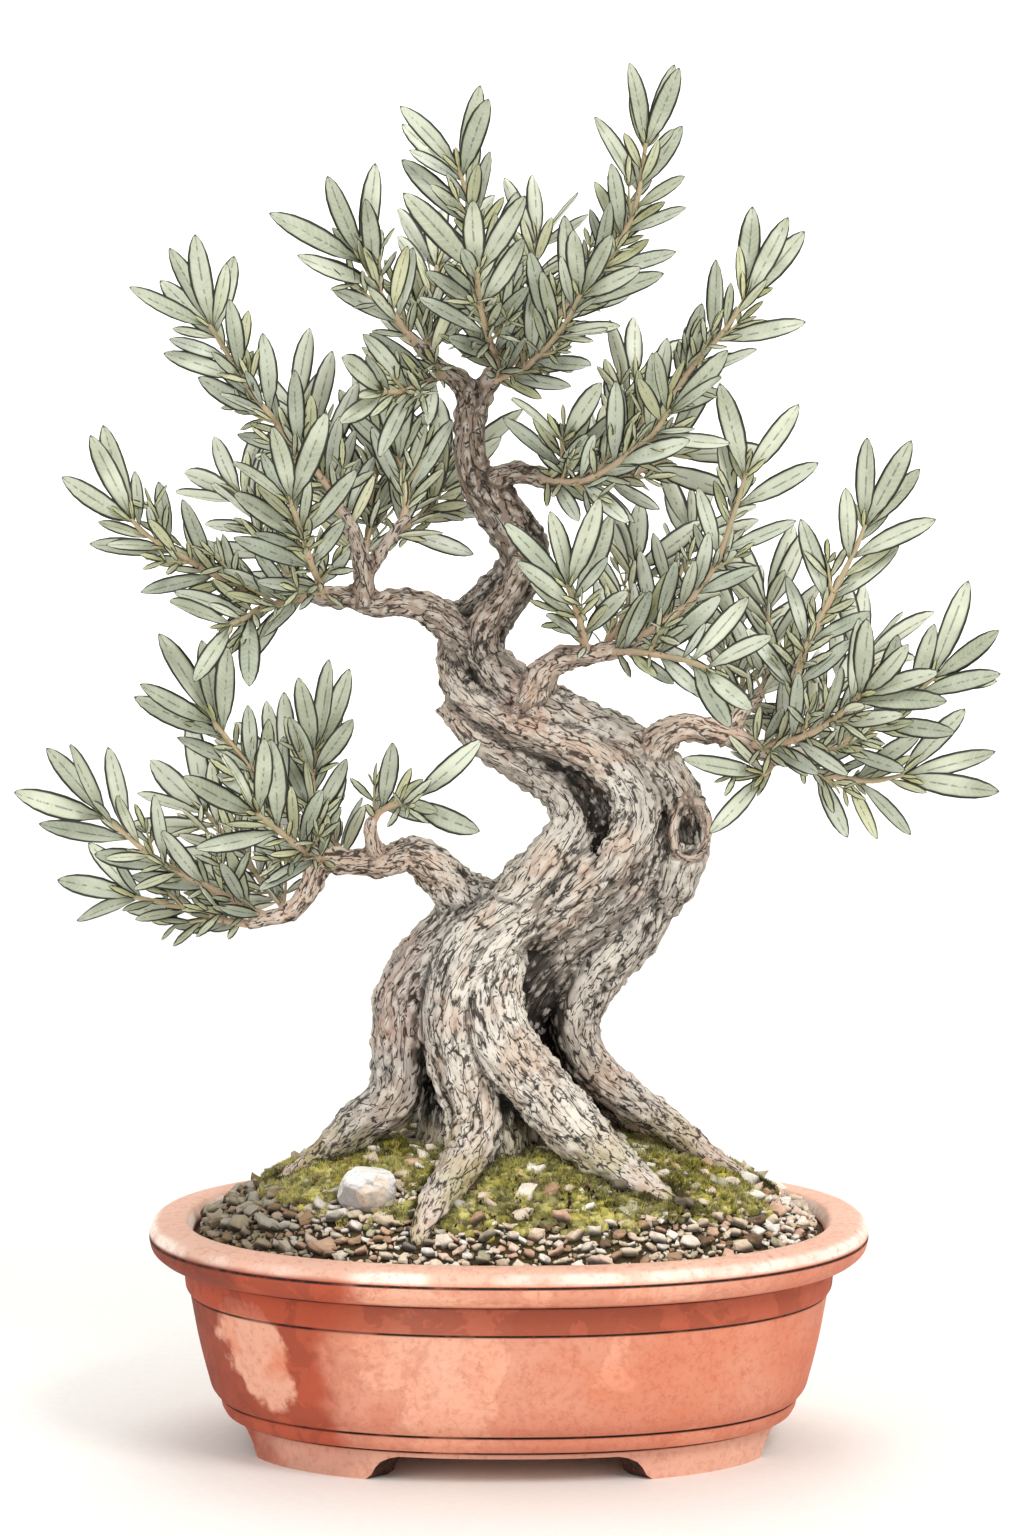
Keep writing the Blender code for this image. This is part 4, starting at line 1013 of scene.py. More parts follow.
def make_bark():
    bark = Finish("Olive bark", 0.86, 28.0, 1300.0)
    place, wide, fine = bark.place, bark.wide, bark.fine
    where, girth = bark.read("grain_place", "Vector"), bark.read("girth")
    height, hollow = place.axis(2), bark.read("hollow")
    pale = bark.read("paleness_and_shade") * 0.8 + wide["Tone"] * 0.35
    hatch = noise(where.stretched(0.22), 1.1, 2.0)
    # Painted shade in the clefts and creases and where short rays meet the wood again, broken by hatching.
    deep = most(bark.read("cleft").ramp(0.8, 3.2, 0.0, 0.7), bark.read("crease").ramp(0.35, 1.4, 0.0, 0.75),
                bark.read("depth").ramp(0.2, 0.45, 0.0, 0.98)) * hatch.ramp(0.32, 0.56, 0.66, 1.0)
    damp = height.ramp(0.1, 0.145, 1.0, 0.0) * noise(place, 55.0).ramp(0.42, 0.62)
    ink = bark_ink(where, girth, bark.read("crack"))
    # Grey to cream by the strands' paleness, with painted shade on the inner strand.
    bark.tone = blend(pale.ramp(0.2, 1.0), BARK_GREY, BARK_CREAM)
    bark.coat((noise(where.stretched(0.3), 0.2, 4.0, 0.6).ramp(0.48, 0.72, 0.0, 0.75), BARK_DARK),
              (noise(place, 42.0, 4.0).ramp(0.48, 0.64, 0.0, 0.55), BARK_TAN),
              (noise(place.stretched(0.6), 18.0, 3.0).ramp(0.5, 0.62, 0.0, 0.5), BARK_COOL),
              (noise(place.stretched(0.7), 24.0, 3.0).ramp(0.54, 0.68, 0.0, 0.32), BARK_ROSE),
              (girth.ramp(4.5, 9.0, 0.7, 0.0), BARK_YOUNG),
              (height.ramp(0.27, 0.36, 0.0, 0.4), BARK_DARK),
              (height.ramp(0.3, 0.335, 0.0, 0.4), BARK_DARK),
              # painted shade on the undersides
              (bark.facing_up().ramp(-0.1, -0.7, 0.0, 0.5), BARK_DARK),
              # painted shade in the clefts, from dark grey to near black
              (deep.ramp(0.05, 0.4, 0.0, 0.5), BARK_DARK),
              (deep, BARK_CRACKS_AND_SHADE),
              # painted shade in the old hollows and the deep cleft
              (bark.read("hollow_shade") * hatch.ramp(0.35, 0.5, 0.75, 1.0), BARK_CRACKS_AND_SHADE),
              # painted shade in small hollows of the skin, and a painted highlight in cream on its raised
              # bumps
              (hollow.ramp(0.07, 0.32, 0.0, 0.55), BARK_CRACKS_AND_SHADE),
              (hollow.ramp(-0.05, -0.3, 0.0, 0.4), BARK_CREAM),
              (damp * 0.7, ROOT_MOSS),
              (ink * 0.9, BARK_CRACKS_AND_SHADE),
              (fine["Speck"] * 0.2, BARK_DARK))
    return bark.done(0.0006, 0.7, fine["Grain"] * 0.35 - ink)


dress(trunk, make_bark())
hand_in(trunk, "bark", "trunk")

# %% [markdown]
# Soil in a bonsai pot is never flat: it mounds up to the roots and drops to the wall so that
# water stays in. The mound is a closed block with the pot's inner wall below and a fine polar
# grid on top, its height a power curve of how far out a point lies, with small bumps. The same
# curve later puts the gravel and the moss on the ground.

# %% The mound of soil
# Half width and height of the pot's inside, from its floor up.
POT_INSIDE = [(100, 18), (112, 42), (117, 63), (119, 76), (125, 90)]
WALL_GAP = 0.5
SOIL_EDGE = 84
SOIL_RISE = 38
SOIL_POWER = 2.6
SOIL_RINGS = 64
SOIL_SPOKES = 200
DIP = 1.0


def wall_inside(z):
    """Half width of the pot's inside at a height."""
    widths, heights = zip(*POT_INSIDE)
    return float(np.interp(z, heights, widths))


GROUND_HALF = wall_inside(SOIL_EDGE)


def mound(share):
    """Height of the ground at a share of the way from the middle to the pot's wall."""
    return SOIL_EDGE + SOIL_RISE * (1 - np.minimum(share, 1) ** SOIL_POWER)


def ground_share(x, y):
    return oval_reach(np.asarray(x), np.asarray(y), GROUND_HALF) ** (1 / OVAL_POWER)


def noise_at(point):
    """A smooth random value of about -1 to 1 at a point."""
    return soft_noise.noise([float(c) for c in point])


def make_soil():
    heights = [FLOOR_TOP + WALL_GAP] + [z for _, z in POT_INSIDE if FLOOR_TOP < z < SOIL_EDGE]
    rings = [oval(wall_inside(z) - WALL_GAP, z, SOIL_SPOKES) for z in heights]
    edge = oval(GROUND_HALF - WALL_GAP, 0, SOIL_SPOKES)
    for share in np.linspace(1, 0.03, SOIL_RINGS):
        ring = edge * share
        crumbs = [noise_at(p * 0.11) * 1.2 + noise_at(p * 0.37 + 9) * 0.7 for p in ring]
        ring[:, 2] = mound(share) - DIP + np.array(crumbs) * min(1, (1 - share) * 12)
        rings.append(ring)
    return loft("ground", rings)


soil = make_soil()
print("mound:", len(soil.data.vertices), "points")

# %% [markdown]
# Where the earth shows between the stones it is dark and damp, with a green film beside the
# moss. The colour only has to read in the gaps, so it stays simple: two browns, a green in
# patches, and a coarse bump.

# %% Damp earth
EARTH_DARK = (50, 37, 26)
EARTH_WARM = (98, 74, 52)
EARTH_GREEN = (84, 84, 38)

earth = Finish("Damp earth", 0.95, 30.0, 700.0)
earth.tone = blend(earth.fine["Grain"], EARTH_DARK, EARTH_WARM)
earth.coat((earth.wide["Tone"] * 0.6, EARTH_GREEN))
dress(soil, earth.done(0.001, 0.9))
hand_in(soil, "soil", "soil")

# %% [markdown]
# The ground is covered with crushed stone in cream, pink, brown and grey. A handful of pebble
# shapes is enough, because every copy is turned and sized by chance. Python draws the places so
# that stones keep a little apart and lie thicker towards the wall; Geometry Nodes puts a random
# pebble on each and gives each its own tone.

# %% Where the moss grows
# For each pad its first and last step round the pot, and how far out it begins and ends.
MOSS_ZONES = {"moss_left": (19, 23, 0.40, 0.74), "moss_front": (25, 31, 0.40, 0.92),
              "moss_right": (33, 36, 0.40, 0.83), "moss_back": (5, 9, 0.40, 0.74),
              "moss_back_left": (14, 17, 0.40, 0.74)}
ROUND_STEPS = 36
STEPS_ACROSS = 26
RAGGED_EDGE = 1.1
RAGGED_SCALE = 0.06


def in_moss(x, y, fade):
    """Whether a point of the ground lies on a pad, its edge made ragged by noise."""
    share = float(ground_share(x, y))
    reach = max(share, 0.01)
    across = math.copysign(abs(x / GROUND_HALF / reach) ** (OVAL_POWER / 2), x)
    along = math.copysign(abs(y / (GROUND_HALF - POT_NARROWER) / reach) ** (OVAL_POWER / 2), y)
    here = math.atan2(along, across) / math.tau * ROUND_STEPS % ROUND_STEPS
    ragged = RAGGED_EDGE * noise_at((x * RAGGED_SCALE, y * RAGGED_SCALE, 3.0))
    for first, last, inner, outer in MOSS_ZONES.values():
        turn = (here - first) % ROUND_STEPS
        if turn > ROUND_STEPS - 6:
            turn -= ROUND_STEPS
        room = min(turn, last - first - turn, (share - inner) * STEPS_ACROSS, (outer - share) * STEPS_ACROSS)
        if room + fade + ragged > 0:
            return True
    return False


print("pads of moss:", len(MOSS_ZONES))


# %% Pebble shapes and places
PEBBLE_KINDS = 7
# How many to try, the smallest and largest size, and how near to each other they may lie.
GRAVEL = [(620, 5.4, 10.0, 0.8), (2000, 3.0, 5.4, 0.6), (2600, 1.5, 2.8, 0.6)]
GRAVEL_SEED = 31
TRIES_FOR_ONE = 9
# A power over 1 draws more small stones than large ones.
SMALLER_OFTENER = 1.8
SAND = 3.0
LIES_INSIDE = 0.985
THIN_MIDDLE = 0.35
MOSS_ENDS = 0.82
SWEPT_FROM_MOSS = 0.88
STONE_RISE = 0.16
SUNK_IN_WOOD = -0.5
GRID_STEP = 12
# Strands whose lower side stands higher than this don't reach the ground.
ABOVE_GROUND = 135
STONE_PLACE = (-53, -52)
STONE_SIZE = (25, 19, 22)


def make_blob(name, seed, steps, roughness, squash, smooth=False):
    """One small lump: a cube's grid blown up to a ball and dented by noise."""
    shape = bmesh.new()
    bmesh.ops.create_cube(shape, size=2)
    if steps:
        bmesh.ops.subdivide_edges(shape, edges=shape.edges[:], cuts=steps, use_grid_fill=True)
    for vert in shape.verts:
        ball = vert.co.normalized()
        blunt = ball * (0.56 if smooth else 0.46) + vert.co * (0.3 if smooth else 0.37)
        dent = soft_noise.noise(ball * 1.3 + Vector((seed * 7.1, 0, 0)))
        fine = soft_noise.noise(ball * 3.1 + Vector((0, seed * 5.3, 0)))
        place = blunt * (1 + roughness * dent + 0.3 * roughness * fine)
        vert.co = Vector((place.x * squash[0], place.y * squash[1], place.z * squash[2])) * 0.5
    mesh = bpy.data.meshes.new(name)
    shape.to_mesh(mesh)
    shape.free()
    shade(mesh, smooth)
    attribute(mesh, "rise", [vert.co.z / squash[2] for vert in mesh.vertices])
    return bpy.data.objects.new(name, mesh)


def away_from_wood(points):
    """The distance of each point from the nearest strand of the wood."""
    nearest = np.full(len(points), np.inf)
    for strand in WOOD.values():
        path = smooth_path(strand, STRAND_STEP)
        path = path[path[:, 2] - path[:, 3] < ABOVE_GROUND]
        if len(path):
            nearest = np.minimum(nearest, outside(points, path).min(axis=1))
    return nearest


def clear_of_stone(points, share):
    """Which points lie outside the rock's oval, taken larger by a share."""
    across = (points[:, 0] - STONE_PLACE[0]) / STONE_SIZE[0]
    along = (points[:, 1] - STONE_PLACE[1]) / STONE_SIZE[1]
    return np.hypot(across, along) > share / 2


def random_spot(draw):
    """A random place, and how far out from the middle it lies."""
    deep = GROUND_HALF - POT_NARROWER
    x, y = draw.uniform(-GROUND_HALF, GROUND_HALF), draw.uniform(-deep, deep)
    return x, y, float(ground_share(x, y))


def on_ground(places, sink, thickness=0.0):
    """Points for rows of x, y and size, raised by a share of the size."""
    height = mound(ground_share(places[:, 0], places[:, 1])) - DIP + thickness
    return np.column_stack([places[:, :2], height + sink * places[:, 2]])


def scatter(count, low, high, tight, seed, taken):
    """Places on the ground for lumps of random size that keep off those already there."""
    draw = np.random.default_rng(seed)
    grid, places = {}, []

    def cell_of(x, y):
        return int(x // GRID_STEP), int(y // GRID_STEP)

    for x, y, size in taken:
        grid.setdefault(cell_of(x, y), []).append((x, y, size))
    for _ in range(count * TRIES_FOR_ONE):
        if len(places) >= count:
            break
        size = low + (high - low) * draw.random() ** SMALLER_OFTENER
        x, y, share = random_spot(draw)
        if share + 0.45 * size / GROUND_HALF > LIES_INSIDE or draw.random() > THIN_MIDDLE + share:
            continue
        if share < MOSS_ENDS - 0.04 and in_moss(x, y, 0.2) and draw.random() < SWEPT_FROM_MOSS:
            continue
        i, j = cell_of(x, y)
        around = [(i + a, j + b) for a in (-1, 0, 1) for b in (-1, 0, 1)]
        near = [other for cell in around for other in grid.get(cell, [])]
        if any(math.hypot(x - ox, y - oy) < tight * (size + other) / 2 for ox, oy, other in near):
            continue
        places.append((x, y, size))
        grid.setdefault((i, j), []).append((x, y, size))
    return places


gravel_places = []
for number, row in enumerate(GRAVEL):
    gravel_places += scatter(*row, GRAVEL_SEED + number, gravel_places)
gravel_places = np.array(gravel_places)
gravel_points = on_ground(gravel_places, STONE_RISE)
free = away_from_wood(gravel_points) > SUNK_IN_WOOD
gravel_points, gravel_sizes = gravel_points[free], gravel_places[free, 2]
print("stones and grit:", len(gravel_points))


# %% Plant shapes with Geometry Nodes
def planting_tree(name, sizes, turned):
    """A tree that puts a random shape of a collection on every point and makes them one mesh."""
    inputs = {"Kinds": ("Collection", None), "Kind count": ("Int", 1), "Seed": ("Int", 0),
              "Material": ("Material", None), **sizes}
    tree, given = geometry_group(name, inputs)
    points = add_node(tree, "GeometryNodeMeshToPoints", {"Mesh": given["Geometry"]})
    points, rotation = turned(tree, given, points)
    shapes = {"Collection": given["Kinds"], "Separate Children": True, "Reset Children": True}
    shapes = add_node(tree, "GeometryNodeCollectionInfo", shapes)
    pick = {4: 0, 5: given["Kind count"] - 1.0, "Seed": given["Seed"]}
    pick = add_node(tree, "FunctionNodeRandomValue", pick, 2, data_type="INT")
    laid = {"Points": points, "Instance": shapes, "Pick Instance": True, "Instance Index": pick,
            "Rotation": rotation, "Scale": stored(tree, "size")}
    laid = add_node(tree, "GeometryNodeInstanceOnPoints", laid)
    real = add_node(tree, "GeometryNodeRealizeInstances", {"Geometry": laid})
    dressed = {"Geometry": real, "Material": given["Material"]}
    return close_group(tree, "Geometry", Geometry=add_node(tree, "GeometryNodeSetMaterial", dressed))


def any_way(tree, given, points):
    """Points with a random tone, and for each a random turn that leans no further than Tilt."""
    tone = add_node(tree, "FunctionNodeRandomValue", {"Seed": 5}, 1, data_type="FLOAT")
    toned = {"Geometry": points, "Name": "tone", "Value": tone}
    toned = add_node(tree, "GeometryNodeStoreNamedAttribute", toned, data_type="FLOAT")
    tilt, lean = given["Tilt"], given["Tilt"] * -1.0
    low = add_node(tree, "ShaderNodeCombineXYZ", {0: lean, 1: lean, 2: 0.0})
    high = add_node(tree, "ShaderNodeCombineXYZ", {0: tilt, 1: tilt, 2: math.tau})
    turn = {0: low, 1: high, "Seed": given["Seed"]}
    return toned, add_node(tree, "FunctionNodeRandomValue", turn, data_type="FLOAT_VECTOR")


def kinds(name, shapes):
    """A collection with the shapes that get repeated."""
    group = bpy.data.collections.new(name)
    bpy.context.scene.collection.children.link(group)
    for shape in shapes:
        group.objects.link(shape)
    return group


ROOT_SHADE = 3.5
LAY_TREE = planting_tree("Lay shapes", {"Tilt": ("Float", 0.5)}, any_way)
print("tree:", LAY_TREE.name, "with", len(LAY_TREE.nodes), "nodes")


def lay(name, points, sizes, shapes, **values):
    """Shapes on points of the ground, which also say how near the wood is."""
    made = mesh_object(name, points, [])
    attribute(made.data, "size", np.asarray(sizes) * MM)
    attribute(made.data, "shade", np.exp(-np.maximum(away_from_wood(points), 0) / ROOT_SHADE))
    run_tree(made, LAY_TREE, kinds=kinds(name + " kinds", shapes), kind_count=len(shapes), **values)
    discard(*shapes)
    return made


def joined(first, *others):
    with bpy.context.temp_override(active_object=first, selected_editable_objects=[first, *others]):
        bpy.ops.object.join()
    return first


# %% Gravel and sand
PEBBLE_TONES = [(0.0, (238, 222, 198)), (0.18, (254, 248, 238)), (0.36, (228, 188, 162)),
                (0.46, (248, 236, 220)), (0.6, (186, 152, 122)), (0.68, (232, 212, 186)),
                (0.79, (192, 186, 158)), (0.87, (246, 220, 200)), (0.96, (126, 104, 82))]


def tone_steps(value, stops):
    """A band of flat colours picked by a value from 0 to 1."""
    picked = add_node(value.tree, "ShaderNodeValToRGB", {0: value})
    band = picked.socket.node.color_ramp
    band.interpolation = "CONSTANT"
    band.elements[0].color = paint(*stops[0][1])
    band.elements.remove(band.elements[1])
    for at, tint in stops[1:]:
        band.elements.new(at).color = paint(*tint)
    return picked


def make_gravel_finish():
    rock = Finish("Crushed gravel", 0.88, 190.0, 1800.0)
    rock.tone = tone_steps(rock.read("tone"), PEBBLE_TONES)
    rock.coat((rock.wide["Tone"] * 0.14, (130, 102, 80)),
              (rock.wide["Edge"] * 0.22, (66, 48, 36)),
              (rock.fine["Speck"] * 0.3, (246, 240, 230)),
              # painted shade on the gravel at the left
              (rock.place.axis(0).ramp(-0.045, -0.1, 0.0, 0.72), (90, 80, 54)),
              (rock.read("shade").ramp(0.3, 0.9, 0.0, 0.75), (44, 34, 22)),
              # a painted shadow on the low side of each stone, where it sits
              (rock.read("rise").ramp(0.2, -0.25, 0.0, 0.92), (30, 21, 14)))
    return rock.done(0.0005, 0.5)


gravel_finish = make_gravel_finish()
pebbles = [make_blob("pebble", k, 1, 0.62, (1.15, 0.88, 0.68)) for k in range(PEBBLE_KINDS)]
chips = [make_blob("chip", 30 + k, 0, 0.5, (1.1, 0.9, 0.8)) for k in range(PEBBLE_KINDS)]
large = gravel_sizes >= SAND
gravel = lay("gravel", gravel_points[large], gravel_sizes[large], pebbles,
             tilt=0.5, seed=3, material=gravel_finish)
sand = lay("sand", gravel_points[~large], gravel_sizes[~large], chips,
           tilt=3.0, seed=4, material=gravel_finish)
hand_in(joined(gravel, sand), "soil")

# %% [markdown]
# Moss grows in soft cushions round the roots and thins out to single tufts on the gravel. The
# five pads of the solids give its zones. Round cushions fill them, overlapping like scales, and
# small pointed tufts stand on the cushions, so the edge against the light is fuzzy.

# %% Moss cushions and tufts
CUSHIONS = 1500
TUFTS = 9000
ZONE_FADE = 0.9
TUFT_LEAVES = 6


def moss_places(count, low, high, seed, fade):
    draw = np.random.default_rng(seed)
    places = []
    while len(places) < count:
        x, y, share = random_spot(draw)
        worn = share + 0.1 * noise_at((x * 0.09, y * 0.09, 5.0))
        if 0.15 < share and worn < MOSS_ENDS and in_moss(x, y, fade):
            places.append((x, y, draw.uniform(low, high)))
    return np.array(places)


def moss_height(x, y):
    """Thickness of the moss at a place: soft lumps a few centimetres across."""
    lumps = noise_at((x * 0.075, y * 0.075, 8.0)) * 1.3 + noise_at((x * 0.2, y * 0.2, 1.0)) * 0.7
    return 1.9 + 1.2 * lumps


def make_tuft(name):
    """A pinch of short pointed moss leaves."""
    draw = random.Random(name)
    points, faces = [], []
    for k in range(TUFT_LEAVES):
        turn = math.tau * (k + draw.random()) / TUFT_LEAVES
        lean = draw.uniform(0.25, 0.8)
        for corner in range(3):
            angle = turn + math.tau * corner / 3
            points.append((0.13 * math.cos(angle), 0.13 * math.sin(angle), -0.15))
        points.append((lean * math.cos(turn), lean * math.sin(turn), 1 - 0.35 * lean))
        base = 4 * k
        faces += [(base, base + 1, base + 3), (base + 1, base + 2, base + 3), (base + 2, base, base + 3)]
    mesh = bpy.data.meshes.new(name)
    mesh.from_pydata(points, [], faces)
    return bpy.data.objects.new(name, mesh)


MOSS_DARK = (50, 47, 16)
MOSS_MID = (198, 188, 86)
MOSS_BRIGHT = (240, 232, 164)
MOSS_SHADE = (34, 32, 14)


def make_moss_finish():
    moss = Finish("Cushion moss", 0.95, 60.0, 1500.0)
    moss.tone = blend(moss.read("tone").ramp(0.0, 0.7), MOSS_DARK, MOSS_MID)
    moss.coat((moss.wide["Tone"] * 0.55, MOSS_BRIGHT),
              (moss.wide["Pool"] * 0.45, MOSS_DARK),
              (noise(moss.place, 190.0, 3.0).ramp(0.54, 0.6, 0.0, 0.5), MOSS_DARK),
              (moss.fine["Speck"] * 0.5, MOSS_BRIGHT),
              (moss.read("shade").ramp(0.25, 0.85, 0.0, 0.85), MOSS_SHADE))
    return moss.done(0.0008, 0.8)


def lay_moss(name, places, sink, clear, off_stone, shapes, **values):
    """Cushions or tufts on the moss, where they are clear of the wood and of the rock."""
    points = on_ground(places, sink, np.array([moss_height(x, y) for x, y, _ in places]))
    free = (away_from_wood(points) > clear) & clear_of_stone(points, off_stone)
    return lay(name, points[free], places[free, 2], shapes, material=moss_finish, **values)


moss_finish = make_moss_finish()
lumps = [make_blob("cushion", 20 + k, 1, 0.2, (1.15, 1.1, 0.8), True) for k in range(4)]
cushions = lay_moss("cushions", moss_places(CUSHIONS, 3.2, 6.6, 17, ZONE_FADE), -0.28, 0.2, 1.3,
                    lumps, tilt=0.3, seed=8)
pinches = [make_tuft("pinch %d" % k) for k in range(4)]
moss = lay_moss("moss", moss_places(TUFTS, 1.5, 2.7, 18, ZONE_FADE + 0.7), 0.15, 0, 1.12,
                pinches, tilt=0.6, seed=9)
hand_in(joined(moss, cushions), "moss", *MOSS_ZONES)

# %% [markdown]
# One larger rock lies in the gravel at the left: a weathered block with a flat top. A sphere cut
# off by a few planes keeps the broad faces that a ball lacks, and noise roughens them.

# %% The pale stone
STONE_FACETS = 9
# How far from the middle of a stone one unit wide its facets lie, and where its top faces.
FACET_REACH = (0.36, 0.44)
FLAT_TOP = (0.14, 0, 1)
STANDS_OUT = 0.13


def make_stone():
    shape = bmesh.new()
    bmesh.ops.create_icosphere(shape, subdivisions=6, radius=0.5)
    draw = random.Random("facets")
    cuts = []
    for _ in range(STONE_FACETS):
        way = Vector((draw.gauss(0, 1), draw.gauss(0, 1), draw.gauss(0, 0.5))).normalized()
        cuts.append((way, draw.uniform(*FACET_REACH)))
    cuts.append((Vector(FLAT_TOP).normalized(), FACET_REACH[0]))
    x0, y0 = STONE_PLACE
    z0 = float(mound(ground_share(x0, y0))) + STONE_SIZE[2] * STANDS_OUT
    for vert in shape.verts:
        for way, reach in cuts:
            over = vert.co.dot(way) - reach
            if over > 0:
                vert.co -= way * over * 0.92
        rough = soft_noise.fractal(vert.co * 3.1, 1.0, 2.0, 5) * 0.035
        vert.co += vert.co.normalized() * rough
        wide, deep, tall = (c * s for c, s in zip(vert.co, STONE_SIZE))
        vert.co = Vector((x0 + wide, y0 + deep, z0 + tall)) * MM
    mesh = bpy.data.meshes.new("stone_block")
    shape.to_mesh(mesh)
    shape.free()
    return outward(placed("pale_stone", mesh))


def make_rock_finish():
    rock = Finish("Weathered rock", 0.85, 90.0, 1500.0)
    # Painted light: the top lit near white, the sides painted grey as shade.
    rock.tone = blend(rock.facing_up().ramp(-0.1, 0.6), (150, 148, 148), (255, 253, 248))
    rock.coat((noise(rock.place, 70.0, 4.0).ramp(0.56, 0.64, 0.0, 0.5), (226, 192, 150)),
              (rock.wide["Tone"] * 0.4, (196, 188, 184)),
              (rock.wide["Edge"] * 0.22, (74, 70, 68)),
              (rock.fine["Speck"] * 0.3, (84, 78, 74)))
    return rock.done(0.0006, 0.5)


stone = make_stone()
dress(stone, make_rock_finish())
hand_in(stone, "rock", "stone")

# %% [markdown]
# Every leafy shoot leaves its branch at a measured place and bends the way it does in the
# drawing: up and out at the tips, forward and back in the middle of a bough. The routes below
# are points along each green stem, first where it springs from the wood.

# %% The routes of the shoots: x, y, z in millimetres
SHOOTS = {
    "low_left_1": [(-80, -17, 246), (-86, -18, 253), (-95, -20, 263), (-104, -22, 275), (-113, -24, 287)],
    "low_left_2": [(-76, -15, 238), (-75, -18, 248), (-75, -22, 262), (-74, -26, 276)],
    "low_left_3": [(-53, -20, 246), (-49, -25, 252), (-42, -31, 256), (-36, -36, 258)],
    "low_left_4": [(-92, -14, 209), (-103, -17, 215), (-119, -20, 224), (-137, -24, 235), (-155, -28, 251)],
    "low_left_5": [(-99, -16, 207), (-110, -12, 208), (-123, -8, 211), (-136, -4, 214), (-145, 0, 215)],
    "low_left_6": [(-85, -12, 211), (-94, 6, 218), (-106, 28, 229), (-120, 48, 242)],
    "low_left_7": [(-63, -14, 231), (-69, 6, 238), (-79, 28, 249), (-90, 46, 259)],
    "low_left_8": [(-70, -15, 231), (-77, -38, 238), (-87, -56, 249), (-95, -70, 258)],
    "upper_left_1": [(-63, -22, 366), (-69, -22, 377), (-84, -20, 395), (-99, -18, 414), (-114, -16, 438)],
    "upper_left_2": [(-88, -12, 334), (-104, -14, 338), (-121, -18, 347), (-137, -20, 357),
                     (-144, -22, 364)],
    "upper_left_3": [(-41, -7, 361), (-39, -4, 370), (-40, -2, 378), (-43, 0, 386)],
    "upper_left_4": [(-70, -13, 333), (-74, -36, 346), (-78, -54, 362), (-82, -64, 375)],
    "upper_left_5": [(-79, -11, 335), (-88, 6, 344), (-97, 26, 356), (-105, 44, 368)],
    "upper_left_6": [(-56, -16, 345), (-54, 6, 357), (-52, 30, 374), (-50, 50, 392)],
    "upper_left_7": [(-60, -19, 358), (-67, 4, 372), (-75, 28, 386), (-83, 50, 401)],
    "upper_left_8": [(-46, -9, 355), (-36, 8, 361), (-28, 22, 368), (-24, 36, 378)],
    "upper_left_9": [(-75, -12, 334), (-94, -22, 330), (-100, -30, 327), (-106, -38, 325)],
    "crown_left_1": [(-35, -6, 429), (-42, -8, 438), (-49, -10, 449), (-56, -12, 462)],
    "crown_left_2": [(-30, -3, 423), (-31, 14, 432), (-30, 32, 444), (-28, 48, 457)],
    "crown_left_3": [(-24, -2, 418), (-32, -18, 415), (-41, -32, 413), (-48, -44, 414)],
    "crown_middle_1": [(0, -3, 430), (-5, -4, 446), (-12, -8, 470), (-19, -10, 497)],
    "crown_middle_2": [(0, -1, 426), (4, 20, 440), (9, 38, 452), (11, 54, 466)],
    "crown_middle_3": [(-3, 0, 419), (-8, -24, 434), (-11, -42, 448), (-12, -56, 460)],
    "crown_right_1": [(0, -2, 421), (11, -4, 433), (32, -8, 454), (47, -11, 479), (52, -12, 506)],
    "crown_right_2": [(-8, 0, 414), (8, -18, 423), (20, -36, 437), (27, -50, 451)],
    "upper_right_1": [(35, -8, 381), (50, -12, 397), (69, -16, 420), (83, -18, 437), (90, -18, 448)],
    "upper_right_2": [(21, -8, 375), (21, -16, 385), (20, -24, 395)],
    "upper_right_3": [(28, -8, 377), (44, 0, 378), (54, 4, 382), (63, 7, 387)],
    "upper_right_4": [(24, -8, 376), (34, 16, 385), (45, 38, 400), (50, 54, 413)],
    "upper_right_5": [(12, -8, 378), (30, -34, 380), (52, -46, 396), (60, -58, 408)],
    "middle_right_1": [(48, -20, 317), (65, -22, 329), (78, -24, 346), (86, -26, 368), (90, -26, 382)],
    "middle_right_2": [(30, -20, 312), (28, -30, 322), (25, -38, 332), (22, -44, 341)],
    "middle_right_3": [(34, -20, 312), (43, -4, 322), (47, 12, 331), (50, 26, 341)],
    "middle_right_4": [(44, -20, 315), (57, 8, 324), (67, 34, 338), (73, 56, 352)],
    "middle_right_5": [(38, -20, 313), (52, -36, 314), (66, -50, 313), (75, -62, 311)],
    "low_right_1": [(114, -22, 273), (126, -23, 277), (139, -25, 285), (151, -27, 294), (162, -28, 304)],
    "low_right_2": [(108, -26, 290), (111, -30, 310), (120, -32, 330), (131, -34, 353), (135, -34, 363)],
    "low_right_3": [(108, -22, 272), (122, -16, 265), (138, -12, 262), (152, -10, 264)],
    "low_right_4": [(96, -14, 294), (100, 0, 304), (101, 14, 316), (100, 26, 328)],
    "low_right_5": [(87, -20, 285), (90, 6, 291), (91, 30, 303), (90, 50, 316)],
    "low_right_6": [(101, -22, 273), (113, 4, 280), (127, 28, 291), (140, 50, 303)],
    "low_right_7": [(92, -22, 277), (108, -44, 282), (122, -60, 292), (132, -72, 303)],
    "low_right_8": [(103, -22, 273), (101, -25, 271), (99, -29, 268), (96, -32, 267)],
}
# Each bough with the seed of its leaves.
BOUGHS = {"low_left": 11, "upper_left": 12, "crown": 13, "upper_right": 14, "middle_right": 15,
          "low_right": 16}
print("shoots:", len(SHOOTS), "on", len(BOUGHS), "boughs")

# %% [markdown]
# Olive leaves stand in opposite pairs along the stem, with a fan at the tip. The rule below is
# the same one that grew the solids, with the same seeds, so each fine leaf lies exactly where its
# solid leaf is: for every place it tries a few random turns and keeps the first one that touches
# no wood, no stem and no earlier leaf. Leaves of middle size then fill the room between them.

# %% Room for a leaf
STEM_BASE = 1.6
STEM_END = 0.9
STEM_TEST_STEP = 2
